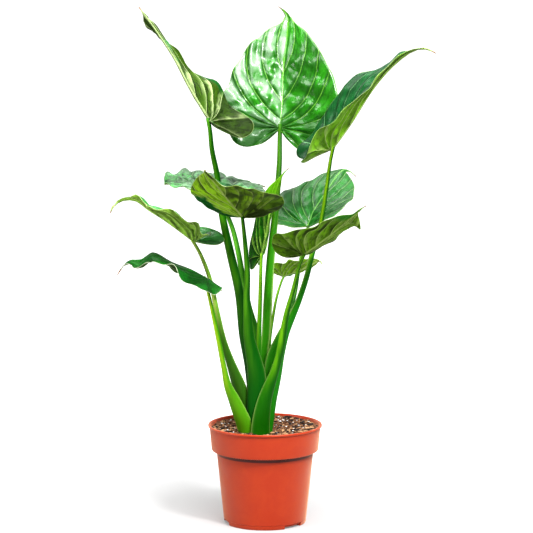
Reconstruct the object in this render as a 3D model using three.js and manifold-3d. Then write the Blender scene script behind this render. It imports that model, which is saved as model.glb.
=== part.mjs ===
// Potted Chinese taro: eleven heart-shaped blades on long stalks, sheathed round one crown, in a plastic
// nursery pot of the 19 cm size. Millimetres, +Z up. The origin is the centre of the pot's underside, and
// -Y is the plant's front.
import * as THREE from "three";
import { mergeVertices } from "three/addons/utils/BufferGeometryUtils.js";
import Module from "manifold-3d";

const wasm = await Module();
wasm.setup();

// Pot: radii of the outside at the levels named, and the wall
const potHeight = 166;
const lipRadius = 95.5;
const lipHeight = 3.6;
const collarTopRadius = 93;
const collarFootRadius = 89.6;
const collarFootLevel = 123;
const bodyTopRadius = 81.6;
const bodyFootRadius = 69.5;
const bandRadius = 68.8;
const bandHeight = 7;
const wallThickness = 2;
const floorThickness = 2.5;
const roundSides = 48;

// Drain notches under the pot's edge, each with a raised channel in the floor above it
const notchAngles = [-46, 74, 194];
const notchWidth = 31;
const notchHeight = 6;
const channelRoof = 2;
const channelInnerRadius = 50;
const channelSlotRadius = 56;
const channelSlotLength = 5;
const channelSlotWidth = 12;
const channelRoofSpread = 3;
const overcut = 4;

// Soil
const soilLevel = 153;
const soilRise = 7;
const soilTilt = 3;
const soilTiltAngle = 80;
const soilBumps = 0.9;
const soilWaves = { x: 0.21, xShift: 0.6, y: 0.17, yShift: -0.4, longX: 0.09, longY: 0.13, longShare: 0.6 };
const soilRings = [18, 34, 48, 62, 76];
const seatLevel = 149;
const seatRadius = 36;
const seatBlend = 14;

// Crown, the short upright stem that the stalks sheathe
const crownCentre = [-10, -3];
const crownProfile = [
  [0, 98],
  [13, 101],
  [19, 114],
  [19, 132],
  [14, 147],
  [11, 162],
  [8.5, 182],
  [5, 199],
  [0, 207],
];
const crownSides = 20;

// Clear space left between pieces that rest on one another
const gap = 0.35;
const soilGap = 0.5;
const stalkGap = 0.5;

// Blade: half of its flat outline as shares of its length, the joint with the stalk at the origin
const halfOutline = [
  [0.012, -0.03],
  [0.08, -0.11],
  [0.19, -0.19],
  [0.32, -0.2],
  [0.44, -0.11],
  [0.505, 0.05],
  [0.5, 0.25],
  [0.44, 0.46],
  [0.335, 0.67],
  [0.2, 0.85],
  [0.075, 0.965],
  [0.022, 1.04],
  [0, 1.16],
];
const tipReach = 1.16;
const lobePoints = 4;
const marginReach = halfOutline.slice(lobePoints).map(([x, y]) => [y, x]);
const fanShare = 0.4;
const ribSpacing = 1.25;
const veinBend = [[0, 0], [0.2, -0.1], [0.35, 0.1], [0.6, 0.2], [1, 0.05]];
const foldStations = [-0.25, 0.1, 0.45, 0.8, 1.16];
const waveReach = 0.5;
const bladeThickness = 1.2;
const bladeRows = 16;
const bladeColumns = 4;

// Stalks
const stalkSides = 8;
const stalkRings = 13;
const stalkSpacing = 0.85;
const stalkSeat = 0.035;
const stalkOverrun = 2.5;
const sheathMiddle = 0.55;
const sheathNarrowing = 0.8;
const sheathThickness = 3.2;
const sheathWrap = [1.2, 1.1, 0.2];
const stalkFlare = 1.1;

// Each leaf: the midrib from joint to tip, the way its upper side faces at joint, middle and tip, then for
// its right and left half (seen from the upper side, tip up) the fold up from the midrib at the five fold
// stations, the curl, the width against the outline, the dip of the lobe behind the joint, the wave's
// height, count and phase, the lobe's length against the outline where it isn't 1, and puckers: place along
// the blade, spread, lift and shift outwards of a bell-shaped bulge of the margin. The stalk runs from the
// crown up to the joint; out is the way its back faces.
const leaves = {
  mid_right_front: {
    rib: [[62, -60, 459], [92, -90, 485], [123, -120, 514], [143, -145, 534], [152, -150, 543],
      [161, -150, 549]],
    face: [[-0.29, 0.42, 0.86], [-0.44, 0.36, 0.82], [-0.48, 0.44, 0.76]],
    right: {
      fold: [0.75, 0.5, 0.35, 0.35, 0.7], curl: 0, width: 0.9, dip: 0.27, wave: [0.02, 2.7, 0.1],
      puckers: [[0.55, 0.1, 0, -0.06], [0.97, 0.05, 0, -0.03]],
    },
    left: {
      fold: [0.2, 0.27, 0.16, -0.05, 0], curl: 0, width: 0.86, dip: -0.23, wave: [0.02, 2.5, 0.3],
      puckers: [[0.78, 0.08, -0.12, -0.05]],
    },
    stalk: {
      path: [[0, -20, 141], [2, -23, 208], [13, -26, 260], [23, -30, 300], [34, -36, 353], [46, -46, 398],
        [56, -56, 440]],
      out: [0.35, -0.94, 0],
      sheathTop: 0.66,
      sheathWidth: 14.5,
      lowRadius: 5,
      topRadius: 2.7,
    },
  },
  low_left: {
    rib: [[-95, -45, 419], [-123, -45, 434], [-152, -45, 445], [-183, -45, 461], [-205, -45, 448],
      [-219, -45, 449], [-230, -45, 442], [-244, -45, 421]],
    face: [[0.47, 0, 0.88], [0.44, -0.08, 0.9], [-0.87, 0.13, 0.48]],
    right: {
      fold: [-0.6, -0.55, -0.5, -0.55, -0.45], curl: 0, width: 0.42, dip: 0, wave: [0.02, 2.8, 0.3],
    },
    left: {
      fold: [-0.4, -0.35, 0.05, -0.43, -0.7], curl: 0, width: 0.65, dip: -0.2, wave: [0.02, 2.8, 0.3],
    },
    stalk: {
      path: [[-27, -15, 141], [-37, -20, 180], [-47, -23, 208], [-60, -27, 237], [-68, -30, 268],
        [-75, -34, 305], [-84, -40, 351], [-92, -44, 389]],
      out: [-0.45, -0.89, 0],
      sheathTop: 0.42,
      sheathWidth: 13,
      lowRadius: 4,
      topRadius: 2.2,
    },
  },
  mid_left_front: {
    rib: [[-35, -60, 520], [-59, -110, 554], [-80, -160, 587], [-94, -190, 606], [-92, -205, 610]],
    face: [[0, 0.55, 0.83], [-0.06, 0.58, 0.81], [0.11, 0.23, 0.97]],
    right: { fold: [0.35, 0.47, 0.37, 0.3, 0.7], curl: 0, width: 0.93, dip: -0.33, wave: [0.01, 2.5, 0.3] },
    left: {
      fold: [0.34, 0.22, -0.1, -0.23, -0.12], curl: 0, width: 0.94, dip: -0.14, wave: [0.015, 2.7, 0.1],
      puckers: [[0.88, 0.07, -0.07, 0]],
    },
    stalk: {
      path: [[-15, -20, 141], [-15, -24, 208], [-16, -27, 261], [-25, -29, 321], [-30, -32, 382],
        [-29, -40, 427], [-33, -50, 482]],
      out: [-0.2, -0.98, 0],
      sheathTop: 0.6,
      sheathWidth: 15,
      lowRadius: 5.4,
      topRadius: 2.6,
    },
  },
  top_right: {
    rib: [[108, -5, 626], [140, -8, 670], [175, -12, 725], [206, -16, 762], [241, -18, 789],
      [261, -18, 792], [279, -18, 785]],
    face: [[-0.76, 0.31, 0.56], [-0.81, -0.1, 0.58], [0.45, 0, 0.89]],
    right: {
      fold: [-0.1, 0.25, 0.25, 0.28, 0.43], curl: 0, width: 0.74, dip: -0.38, wave: [0.02, 2.7, 0.1],
    },
    left: {
      fold: [1.15, 0.86, 0.74, 0.08, 0.38], curl: 0, width: 0.61, dip: -0.18, wave: [0.02, 2.5, 0.3],
      puckers: [[0.7, 0.06, 0, -0.04], [0.87, 0.06, 0, 0.035]],
    },
    stalk: {
      path: [[8, -6, 141], [16, -7, 204], [27, -5, 249], [34, -2, 292], [40, 1, 325], [57, 5, 376],
        [69, 7, 413], [79, 8, 454], [92, 7, 499], [102, 1, 564], [108, -4, 609]],
      out: [0.95, -0.3, 0],
      sheathTop: 0.4,
      sheathWidth: 11,
      lowRadius: 5,
      topRadius: 2.7,
    },
  },
  side_left: {
    rib: [[-116, -20, 476], [-165, -20, 512], [-193, -15, 529], [-212, -15, 543], [-232, -15, 544],
      [-247, -15, 536], [-255, -15, 522]],
    face: [[0.6, 0, 0.8], [0.54, 0.23, 0.81], [-0.67, 0.7, 0.25]],
    right: {
      fold: [1, 0.3, 0.33, 0.47, 1.3], curl: 0, width: 0.68, dip: -0.16, wave: [0.02, 2.7, 0.1], lobe: 1.35,
    },
    left: {
      fold: [0.04, 0.45, 0.15, -0.32, -0.63], curl: 0, width: 0.95, dip: -1.2, wave: [0.02, 2.5, 0.3],
    },
    stalk: {
      path: [[-25, -3, 141], [-37, -8, 193], [-48, -13, 234], [-57, -16, 267], [-69, -18, 311],
        [-80, -17, 361], [-91, -14, 412], [-106, -17, 453]],
      out: [-0.75, -0.65, 0],
      sheathTop: 0.5,
      sheathWidth: 11,
      lowRadius: 4.6,
      topRadius: 2.6,
    },
  },
  top_left: {
    rib: [[-90, -25, 674], [-123, -20, 728], [-147, -12, 774], [-170, -6, 809], [-188, -2, 835],
      [-207, 2, 860]],
    face: [[-0.09, 0.99, -0.14], [0.03, 0.99, -0.17], [0.42, 0.89, 0.19]],
    right: {
      fold: [1.68, 1.68, 1.62, 1.55, -0.6], curl: 0, width: 1, dip: 1.4, wave: [0, 2.5, 0],
      puckers: [[0.87, 0.08, 0, -0.1], [1, 0.06, 0, 0.04]],
    },
    left: {
      fold: [0.6, 1, 1.2, 1.62, 1.65], curl: 0.1, width: 1.12, dip: 0, wave: [0.035, 2.27, 0.11], lobe: 1.35,
      puckers: [[-0.04, 0.12, 0, -0.07], [0.68, 0.14, 0, -0.1]],
    },
    stalk: {
      path: [[-18, 8, 141], [-22, 10, 205], [-28, 10, 264], [-37, 8, 315], [-42, 6, 376], [-47, 4, 407],
        [-57, 7, 451], [-71, 7, 518], [-79, -1, 584], [-87, -15, 627], [-90, -23, 660]],
      out: [-0.5, -0.86, 0],
      sheathTop: 0.62,
      sheathWidth: 13,
      lowRadius: 6,
      topRadius: 3.1,
    },
  },
  top_centre: {
    rib: [[25, 90, 656], [29, 108, 699], [32, 136, 760], [40, 174, 835], [34, 174, 849], [22, 172, 859]],
    face: [[0, -0.9, 0.45], [0, -0.9, 0.45], [0.1, -0.9, 0.45]],
    right: { fold: [0.15, 0.2, 0.4, 0.5, 0.5], curl: 0, width: 1, dip: 0, wave: [0.012, 3, 0.4] },
    left: { fold: [0.15, 0.15, 0.1, 0.15, 0.2], curl: 0, width: 1, dip: 0, wave: [0.012, 3, 0.2] },
    stalk: {
      path: [[-5, 6, 141], [-3, 8, 205], [-2, 11, 274], [2, 14, 314], [5, 18, 375], [10, 26, 448],
        [17, 42, 513], [24, 70, 595], [25, 88, 642]],
      out: [0.2, 0.98, 0],
      sheathTop: 0.5,
      sheathWidth: 10,
      lowRadius: 6.6,
      topRadius: 3.4,
    },
  },
  mid_right_back: {
    rib: [[73, 102, 487], [83, 122, 511], [95, 142, 527], [111, 167, 548], [135, 202, 575],
      [148, 209, 573], [160, 212, 562]],
    face: [[-0.2, -0.74, 0.64], [0.06, -0.66, 0.75], [0.64, -0.62, 0.45]],
    right: { fold: [0.8, 0.6, 0.43, 0.4, 0.2], curl: 0, width: 0.9, dip: -0.73, wave: [0.008, 3, 0.3] },
    left: { fold: [0.3, 0.4, -0.03, -0.55, -1.2], curl: 0, width: 0.83, dip: -0.72, wave: [0.01, 3, 0.2] },
    stalk: {
      path: [[5, 8, 141], [15, 18, 203], [25, 36, 268], [36, 58, 324], [50, 82, 373], [57, 92, 413],
        [68, 100, 464]],
      out: [0.75, 0.66, 0],
      sheathTop: 0.45,
      sheathWidth: 10,
      lowRadius: 4.4,
      topRadius: 2.5,
    },
  },
  mid_left_back: {
    rib: [[-94, 72, 554], [-68, 122, 555], [-36, 177, 552], [-12, 217, 548], [1, 237, 542]],
    face: [[0.07, -0.08, 0.99], [0.18, -0.03, 0.98], [0.15, 0.21, 0.97]],
    right: {
      fold: [-0.25, -0.17, -0.07, -0.1, -0.17], curl: 0, width: 0.88, dip: -0.07, wave: [0.02, 3, 0.3],
    },
    left: {
      fold: [0.05, 0.05, 0.1, 0.15, 0.2], curl: 0, width: 1.07, dip: 0.06, wave: [0.035, 3.3, 0],
      puckers: [[0.22, 0.09, 0.05, 0]],
    },
    stalk: {
      path: [[-3, 12, 141], [-2, 17, 203], [-3, 22, 245], [-12, 29, 312], [-26, 37, 362], [-37, 45, 407],
        [-46, 55, 454], [-56, 63, 492], [-74, 70, 531]],
      out: [0, 1, 0],
      sheathTop: 0.45,
      sheathWidth: 10,
      lowRadius: 4.4,
      topRadius: 2.5,
    },
  },
  low_right: {
    rib: [[30, 62, 407], [52, 60, 415], [79, 58, 427], [91, 56, 434], [97, 55, 426]],
    face: [[-0.14, 0.75, 0.64], [-0.23, 0.76, 0.61], [0.71, 0.63, 0.32]],
    right: {
      fold: [0.05, -0.15, -0.15, -0.25, -0.3], curl: 0, width: 1.2, dip: -0.1, wave: [0.015, 2.5, 0.3],
    },
    left: { fold: [0.27, 0.67, 0.5, 0.55, 0.66], curl: 0, width: 0.6, dip: -1.3, wave: [0.01, 2.5, 0.3] },
    stalk: {
      path: [[2, 13, 141], [3, 20, 203], [6, 32, 269], [8, 40, 303], [11, 46, 325], [19, 56, 369],
        [27, 61, 396]],
      out: [0.5, 0.86, 0],
      sheathTop: 0.4,
      sheathWidth: 8,
      lowRadius: 3.2,
      topRadius: 1.8,
    },
  },
  young: {
    rib: [[-7, -8, 450], [1, -9, 485], [7, -11, 519], [15, -13, 549], [23, -15, 574], [31, -16, 589],
      [39, -16, 597]],
    face: [[-0.14, 0.99, 0.05], [-0.09, 0.99, 0.09], [-0.06, 1, 0.05]],
    right: { fold: [1.07, 0.91, 0.87, 0.6, 0.6], curl: 1.3, width: 0.55, dip: 0.25, wave: [0, 2.5, 0] },
    left: { fold: [1.1, 1, 1.12, 1, 1.1], curl: 2, width: 0.84, dip: -0.64, wave: [0, 2.5, 0] },
    stalk: {
      path: [[-10, -5, 207.6], [-11, -9, 276], [-10, -10, 318], [-8, -10, 379], [-7, -9, 427]],
      out: [-0.3, -0.95, 0],
      sheathTop: 0.5,
      sheathWidth: 6,
      lowRadius: 3.6,
      topRadius: 2.4,
    },
  },
};

// Looks
const potMaterial = new THREE.MeshStandardMaterial({ color: 0xd4502d, roughness: 0.55, metalness: 0 });
const soilMaterial = new THREE.MeshStandardMaterial({ color: 0x6a4c36, roughness: 1, metalness: 0 });
const crownMaterial = new THREE.MeshStandardMaterial({ color: 0x3f8a1c, roughness: 0.5, metalness: 0 });
const bladeMaterial = new THREE.MeshStandardMaterial({ color: 0x2f7d3a, roughness: 0.35, metalness: 0 });
const youngMaterial = new THREE.MeshStandardMaterial({ color: 0x7fbf1f, roughness: 0.4, metalness: 0 });
const stalkMaterial = new THREE.MeshStandardMaterial({ color: 0x4f9a1e, roughness: 0.4, metalness: 0 });

// Straight-line value of a list of [place, value] pairs at a place
function valueAt(pairs, place) {
  const last = pairs.length - 1;
  if (place <= pairs[0][0]) return pairs[0][1];
  if (place >= pairs[last][0]) return pairs[last][1];
  const next = pairs.findIndex((pair) => pair[0] >= place);
  const [x0, y0] = pairs[next - 1];
  const [x1, y1] = pairs[next];
  return y0 + ((y1 - y0) * (place - x0)) / (x1 - x0);
}

// Smooth curve through points, as a function of the share of its chord length
function smoothCurve(points) {
  const p = points.map((point) => new THREE.Vector3(point[0], point[1], point[2] ?? 0));
  const knots = [0];
  for (let i = 1; i < p.length; i += 1) {
    knots.push(knots[i - 1] + p[i].distanceTo(p[i - 1]));
  }
  const reach = knots[knots.length - 1];
  const k = knots.map((knot) => knot / reach);
  const last = p.length - 1;
  const slope = (a, b) => p[b].clone().sub(p[a]).divideScalar(k[b] - k[a]);
  const slopes = p.map((_, i) => {
    if (i > 0 && i < last) return slope(i - 1, i + 1);
    return i ? slope(last - 1, last) : slope(0, 1);
  });
  slopes[0].multiplyScalar(1.5).addScaledVector(slopes[1], -0.5);
  slopes[last].multiplyScalar(1.5).addScaledVector(slopes[last - 1], -0.5);
  const point = (share) => {
    const u = THREE.MathUtils.clamp(share, 0, 1);
    let i = 0;
    while (i < last - 1 && u >= k[i + 1]) i += 1;
    const span = k[i + 1] - k[i];
    const f = (u - k[i]) / span;
    return p[i].clone().multiplyScalar(2 * f ** 3 - 3 * f ** 2 + 1)
      .addScaledVector(slopes[i], (f ** 3 - 2 * f ** 2 + f) * span)
      .addScaledVector(p[i + 1], 3 * f ** 2 - 2 * f ** 3)
      .addScaledVector(slopes[i + 1], (f ** 3 - f ** 2) * span);
  };
  const heading = (share) => {
    const step = 0.001;
    const ahead = point(Math.min(share + step, 1));
    return ahead.sub(point(Math.max(share - step, 0))).normalize();
  };
  return { point, heading, reach };
}

// Closed geometry from corner points and triangles
function closedGeometry(corners, triangles) {
  const geometry = new THREE.BufferGeometry();
  geometry.setAttribute("position", new THREE.Float32BufferAttribute(corners.flat(), 3));
  geometry.setIndex(triangles.flat());
  return geometry;
}

function toSolid(geometry) {
  const bare = geometry.clone();
  bare.deleteAttribute("normal");
  bare.deleteAttribute("uv");
  const merged = mergeVertices(bare, 0.0001);
  const vertProperties = new Float32Array(merged.attributes.position.array);
  const triVerts = new Uint32Array(merged.index.array);
  return new wasm.Manifold(new wasm.Mesh({ numProp: 3, vertProperties, triVerts }));
}

function fromSolid(solid) {
  const mesh = solid.getMesh();
  const geometry = new THREE.BufferGeometry();
  geometry.setAttribute("position", new THREE.Float32BufferAttribute(mesh.vertProperties, 3));
  geometry.setIndex(Array.from(mesh.triVerts));
  return geometry;
}

// The biggest separate body of a solid
function mainBody(solid) {
  const bodies = solid.decompose();
  return bodies.reduce((best, body) => (body.volume() > best.volume() ? body : best));
}

// Cuts a solid by copies of a thin one moved towards the eight corners of a cube
function clearOf(solid, thin) {
  let left = solid;
  for (const x of [-gap, gap]) {
    for (const y of [-gap, gap]) {
      for (const z of [-gap, gap]) left = left.subtract(thin.translate([x, y, z]));
    }
  }
  return left;
}

function turned(profile, sides) {
  const points = profile.map((pair) => new THREE.Vector2(pair[0], pair[1]));
  return new THREE.LatheGeometry(points, sides).rotateX(Math.PI / 2);
}

// Ring sector as a block, its middle at an angle measured from +X
function sectorBlock(innerRadius, outerRadius, bottom, top, middle, width) {
  const from = THREE.MathUtils.degToRad(middle - width / 2);
  const to = THREE.MathUtils.degToRad(middle + width / 2);
  const shape = new THREE.Shape();
  shape.absarc(0, 0, outerRadius, from, to, false);
  shape.absarc(0, 0, innerRadius, to, from, true);
  const options = { depth: top - bottom, bevelEnabled: false, curveSegments: 6 };
  return toSolid(new THREE.ExtrudeGeometry(shape, options).translate(0, 0, bottom));
}

const innerFloorRadius = bandRadius - wallThickness;
const innerStepRadius = bodyTopRadius - wallThickness;
const innerStepLevel = collarFootLevel + wallThickness;
const innerCollarRadius = collarFootRadius - wallThickness;
const innerMouthRadius = collarTopRadius - wallThickness;

const potOutside = [
  [0, 0],
  [bandRadius - 0.6, 0],
  [bandRadius, 0.8],
  [bandRadius, bandHeight],
  [bodyFootRadius, bandHeight + 0.5],
  [bodyTopRadius, collarFootLevel],
  [collarFootRadius - 1.6, collarFootLevel],
  [collarFootRadius - 0.4, collarFootLevel + 0.7],
  [collarFootRadius, collarFootLevel + 2.4],
  [collarTopRadius, potHeight - lipHeight],
  [lipRadius - 0.7, potHeight - lipHeight + 0.2],
  [lipRadius, potHeight - lipHeight + 1.2],
  [lipRadius, potHeight - 1],
  [lipRadius - 1, potHeight],
];
const potInside = [
  [innerMouthRadius + 0.8, potHeight],
  [innerMouthRadius, potHeight - 1],
  [innerCollarRadius + 0.1, innerStepLevel + 1],
  [innerCollarRadius - 0.8, innerStepLevel],
  [innerStepRadius, innerStepLevel],
  [innerFloorRadius + 0.2, floorThickness + 1.6],
  [innerFloorRadius - 1.4, floorThickness],
  [0, floorThickness],
];

function pot() {
  let solid = toSolid(turned([...potOutside, ...potInside], roundSides));
  for (const angle of notchAngles) {
    const roofTop = notchHeight + channelRoof;
    const roofWidth = notchWidth + channelRoofSpread;
    const reach = innerFloorRadius + 0.6;
    const roof = sectorBlock(channelInnerRadius - channelRoof, reach, 1, roofTop, angle, roofWidth);
    solid = solid.add(roof);
  }
  for (const angle of notchAngles) {
    const outerReach = bandRadius + overcut;
    const channel = sectorBlock(channelInnerRadius, outerReach, -overcut, notchHeight, angle, notchWidth);
    const slotEnd = channelSlotRadius + channelSlotLength;
    const slotTop = notchHeight + channelRoof + overcut;
    const slot = sectorBlock(channelSlotRadius, slotEnd, 1, slotTop, angle, channelSlotWidth);
    solid = solid.subtract(channel).subtract(slot);
  }
  return fromSolid(solid);
}

// Height of the soil: rising towards the wall and the back, bumpy, and level round the crown
function soilHeight(x, y) {
  const tiltTurn = THREE.MathUtils.degToRad(soilTiltAngle);
  const across = (x * Math.cos(tiltTurn) + y * Math.sin(tiltTurn)) / innerMouthRadius;
  const waves = soilWaves;
  const short = Math.sin(x * waves.x + waves.xShift) * Math.cos(y * waves.y + waves.yShift);
  const long = waves.longShare * Math.sin(x * waves.longX - y * waves.longY);
  const bowl = (x ** 2 + y ** 2) / innerMouthRadius ** 2;
  const open = soilLevel + soilRise * bowl + soilTilt * across + soilBumps * (short + long);
  const away = Math.hypot(x - crownCentre[0], y - crownCentre[1]) - seatRadius;
  return THREE.MathUtils.lerp(seatLevel, open, THREE.MathUtils.smoothstep(away, 0, seatBlend));
}

// The soil's side and underside below its surface, one clearance in from the pot
const soilWall = [
  [innerCollarRadius + 1.2 - soilGap, soilLevel - 15],
  [innerCollarRadius + 0.1 - soilGap, innerStepLevel + 1 + soilGap],
  [innerCollarRadius - 0.8 - soilGap, innerStepLevel + soilGap],
  [innerStepRadius - soilGap, innerStepLevel + soilGap],
  [innerFloorRadius + 0.2 - soilGap, floorThickness + 1.6 + soilGap],
  [innerFloorRadius - 1.4 - soilGap, floorThickness + soilGap],
];

function soil() {
  const edgeRadius = innerMouthRadius - 1.2 - soilGap;
  const rings = [...soilRings, edgeRadius].map((radius) => [radius, null]);
  rings.push(...soilWall);
  const corners = [[0, 0, soilHeight(0, 0)]];
  for (const [radius, level] of rings) {
    for (let k = 0; k < roundSides; k += 1) {
      const angle = (k / roundSides) * 2 * Math.PI;
      const x = radius * Math.sin(angle);
      const y = -radius * Math.cos(angle);
      corners.push([x, y, level ?? soilHeight(x, y)]);
    }
  }
  corners.push([0, 0, floorThickness + soilGap]);
  const triangles = [];
  const at = (ring, k) => 1 + ring * roundSides + (k % roundSides);
  const bottom = corners.length - 1;
  for (let k = 0; k < roundSides; k += 1) {
    triangles.push([0, at(0, k), at(0, k + 1)]);
    for (let ring = 0; ring < rings.length - 1; ring += 1) {
      triangles.push([at(ring, k), at(ring + 1, k), at(ring + 1, k + 1)]);
      triangles.push([at(ring, k), at(ring + 1, k + 1), at(ring, k + 1)]);
    }
    triangles.push([at(rings.length - 1, k), bottom, at(rings.length - 1, k + 1)]);
  }
  let solid = toSolid(closedGeometry(corners, triangles)).subtract(crownSolid(soilGap));
  for (const angle of notchAngles) {
    const roofTop = notchHeight + channelRoof + soilGap;
    const roofWidth = notchWidth + channelRoofSpread + 2;
    const inner = channelInnerRadius - channelRoof - soilGap;
    solid = solid.subtract(sectorBlock(inner, bandRadius, 1, roofTop, angle, roofWidth));
  }
  return fromSolid(mainBody(solid));
}

function crownSolid(extra) {
  const profile = crownProfile.map(([radius, level], i) => {
    const end = i === 0 ? -extra : i === crownProfile.length - 1 ? extra : 0;
    return [radius > 0 ? radius + extra : 0, level + end];
  });
  return toSolid(turned(profile, crownSides)).translate([crownCentre[0], crownCentre[1], 0]);
}

// Flat half blade: rows follow the side veins, which leave the joint in a fan and then the midrib in turn
const outlineCurve = smoothCurve(halfOutline);

function flatPoint(row, column) {
  const edge = outlineCurve.point(row);
  const start = row > fanShare ? ((row - fanShare) / (1 - fanShare)) ** ribSpacing * tipReach : 0;
  const rib = new THREE.Vector3(0, start, 0);
  const chord = edge.clone().sub(rib);
  const aside = new THREE.Vector3(chord.y, -chord.x, 0).multiplyScalar(valueAt(veinBend, row));
  const middle = edge.clone().add(rib).multiplyScalar(0.5).add(aside);
  return rib.multiplyScalar((1 - column) ** 2)
    .addScaledVector(middle, 2 * column * (1 - column))
    .addScaledVector(edge, column ** 2);
}

function faceAt(leaf, y) {
  const half = tipReach / 2;
  const pairs = (axis) => leaf.face.map((direction, i) => [i * half, direction[axis]]);
  return new THREE.Vector3(valueAt(pairs(0), y), valueAt(pairs(1), y), valueAt(pairs(2), y));
}

// Frame of the midrib at a place: point, heading, upper side and the blade's right
function ribFrame(leaf, y) {
  const share = Math.max(y, 0) / tipReach;
  const point = leaf.curve.point(share);
  const heading = leaf.curve.heading(share);
  const face = faceAt(leaf, y);
  face.addScaledVector(heading, -face.dot(heading)).normalize();
  return { point, heading, face, right: heading.clone().cross(face) };
}

// Bends one flat half point into space: folded up at the midrib, curled across, waved and puckered at the
// edge
function bladePoint(leaf, side, flat) {
  const half = side > 0 ? leaf.right : leaf.left;
  const frame = ribFrame(leaf, flat.y);
  const back = Math.min(flat.y, 0) * leaf.size * (half.lobe ?? 1);
  let across = flat.x * half.width;
  const [height, count, phase] = half.wave;
  let wave = height * (across / waveReach) ** 2 * Math.sin(2 * Math.PI * (count * flat.y + phase));
  for (const [place, spread, lift, shift] of half.puckers ?? []) {
    const reach = Math.max(valueAt(marginReach, flat.y), 0.01);
    const share = Math.min(flat.x / reach, 1) ** 2 * Math.exp(-(((flat.y - place) / spread) ** 2));
    wave += lift * share;
    across += shift * share;
  }
  const fold = valueAt(foldStations.map((station, i) => [station, half.fold[i]]), flat.y);
  const curl = half.curl || 0.001;
  const turn = fold + curl * across;
  const outward = (Math.sin(turn) - Math.sin(fold)) / curl - wave * Math.sin(turn);
  const upward = (Math.cos(fold) - Math.cos(turn)) / curl + wave * Math.cos(turn);
  return frame.point
    .addScaledVector(frame.heading, back * Math.cos(half.dip))
    .addScaledVector(frame.face, back * Math.sin(half.dip) + upward * leaf.size)
    .addScaledVector(frame.right, side * outward * leaf.size);
}

// Middle surface of a blade: both halves share the corners of the midrib
function bladeSurface(leaf) {
  const corners = [];
  const known = new Map();
  const triangles = [];
  const cornerOf = (side, i, j) => {
    const point = bladePoint(leaf, side, flatPoint(i / bladeRows, j / bladeColumns));
    const key = point.toArray().map((value) => value.toFixed(4)).join();
    if (!known.has(key)) {
      known.set(key, corners.length);
      corners.push(point);
    }
    return known.get(key);
  };
  const add = (a, b, c) => {
    if (a !== b && b !== c && c !== a) triangles.push([a, b, c]);
  };
  for (const side of [1, -1]) {
    for (let i = 0; i < bladeRows; i += 1) {
      for (let j = 0; j < bladeColumns; j += 1) {
        const near = cornerOf(side, i, j);
        const out = cornerOf(side, i, j + 1);
        const outNext = cornerOf(side, i + 1, j + 1);
        const nearNext = cornerOf(side, i + 1, j);
        if (side > 0) {
          add(near, out, outNext);
          add(near, outNext, nearNext);
        } else {
          add(near, outNext, out);
          add(near, nearNext, outNext);
        }
      }
    }
  }
  return { corners, triangles };
}

function cornerNormals({ corners, triangles }) {
  const normals = corners.map(() => new THREE.Vector3());
  for (const [a, b, c] of triangles) {
    const edge = corners[b].clone().sub(corners[a]);
    const normal = edge.cross(corners[c].clone().sub(corners[a])).normalize();
    for (const corner of [a, b, c]) normals[corner].add(normal);
  }
  return normals.map((normal) => normal.normalize());
}

// Directed edges that only one triangle uses
function openEdges(triangles) {
  const edges = new Map();
  for (const [a, b, c] of triangles) {
    for (const [from, to] of [[a, b], [b, c], [c, a]]) edges.set(`${from},${to}`, [from, to]);
  }
  return [...edges.values()].filter(([from, to]) => !edges.has(`${to},${from}`));
}

function bladeGeometry(leaf, thickness) {
  const surface = bladeSurface(leaf);
  const normals = cornerNormals(surface);
  const shifted = (shift) => surface.corners.map((corner, i) => {
    return corner.clone().addScaledVector(normals[i], shift).toArray();
  });
  const count = surface.corners.length;
  const corners = [...shifted(thickness / 2), ...shifted(-thickness / 2)];
  const bothFaces = ([a, b, c]) => [[a, b, c], [a + count, c + count, b + count]];
  const triangles = surface.triangles.flatMap(bothFaces);
  for (const [from, to] of openEdges(surface.triangles)) {
    triangles.push([to, from, from + count], [to, from + count, to + count]);
  }
  return closedGeometry(corners, triangles);
}

// Section of a stalk: a round rod at the top, lower down a crescent that wraps round the crown
function stalkSection(angle, width, thickness, wrap) {
  const turn = Math.max(wrap, 0.001) * Math.cos(angle);
  const radius = width / Math.max(wrap, 0.001);
  const lift = thickness * Math.sin(angle);
  const aside = (radius + lift) * Math.sin(turn);
  const outward = radius * (Math.cos(turn) - 1) + lift * Math.cos(turn);
  return [aside, outward];
}

function stalkShape(stalk) {
  const { sheathTop, sheathWidth, lowRadius, topRadius } = stalk;
  const middle = sheathTop * sheathMiddle;
  const narrowed = sheathWidth * sheathNarrowing;
  return {
    width: [[0, sheathWidth], [middle, narrowed], [sheathTop, lowRadius * stalkFlare], [1, topRadius]],
    thickness: [[0, sheathThickness], [middle, sheathThickness], [sheathTop, lowRadius], [1, topRadius]],
    wrap: [[0, sheathWrap[0]], [middle, sheathWrap[1]], [sheathTop, sheathWrap[2]], [1, 0]],
  };
}

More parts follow.
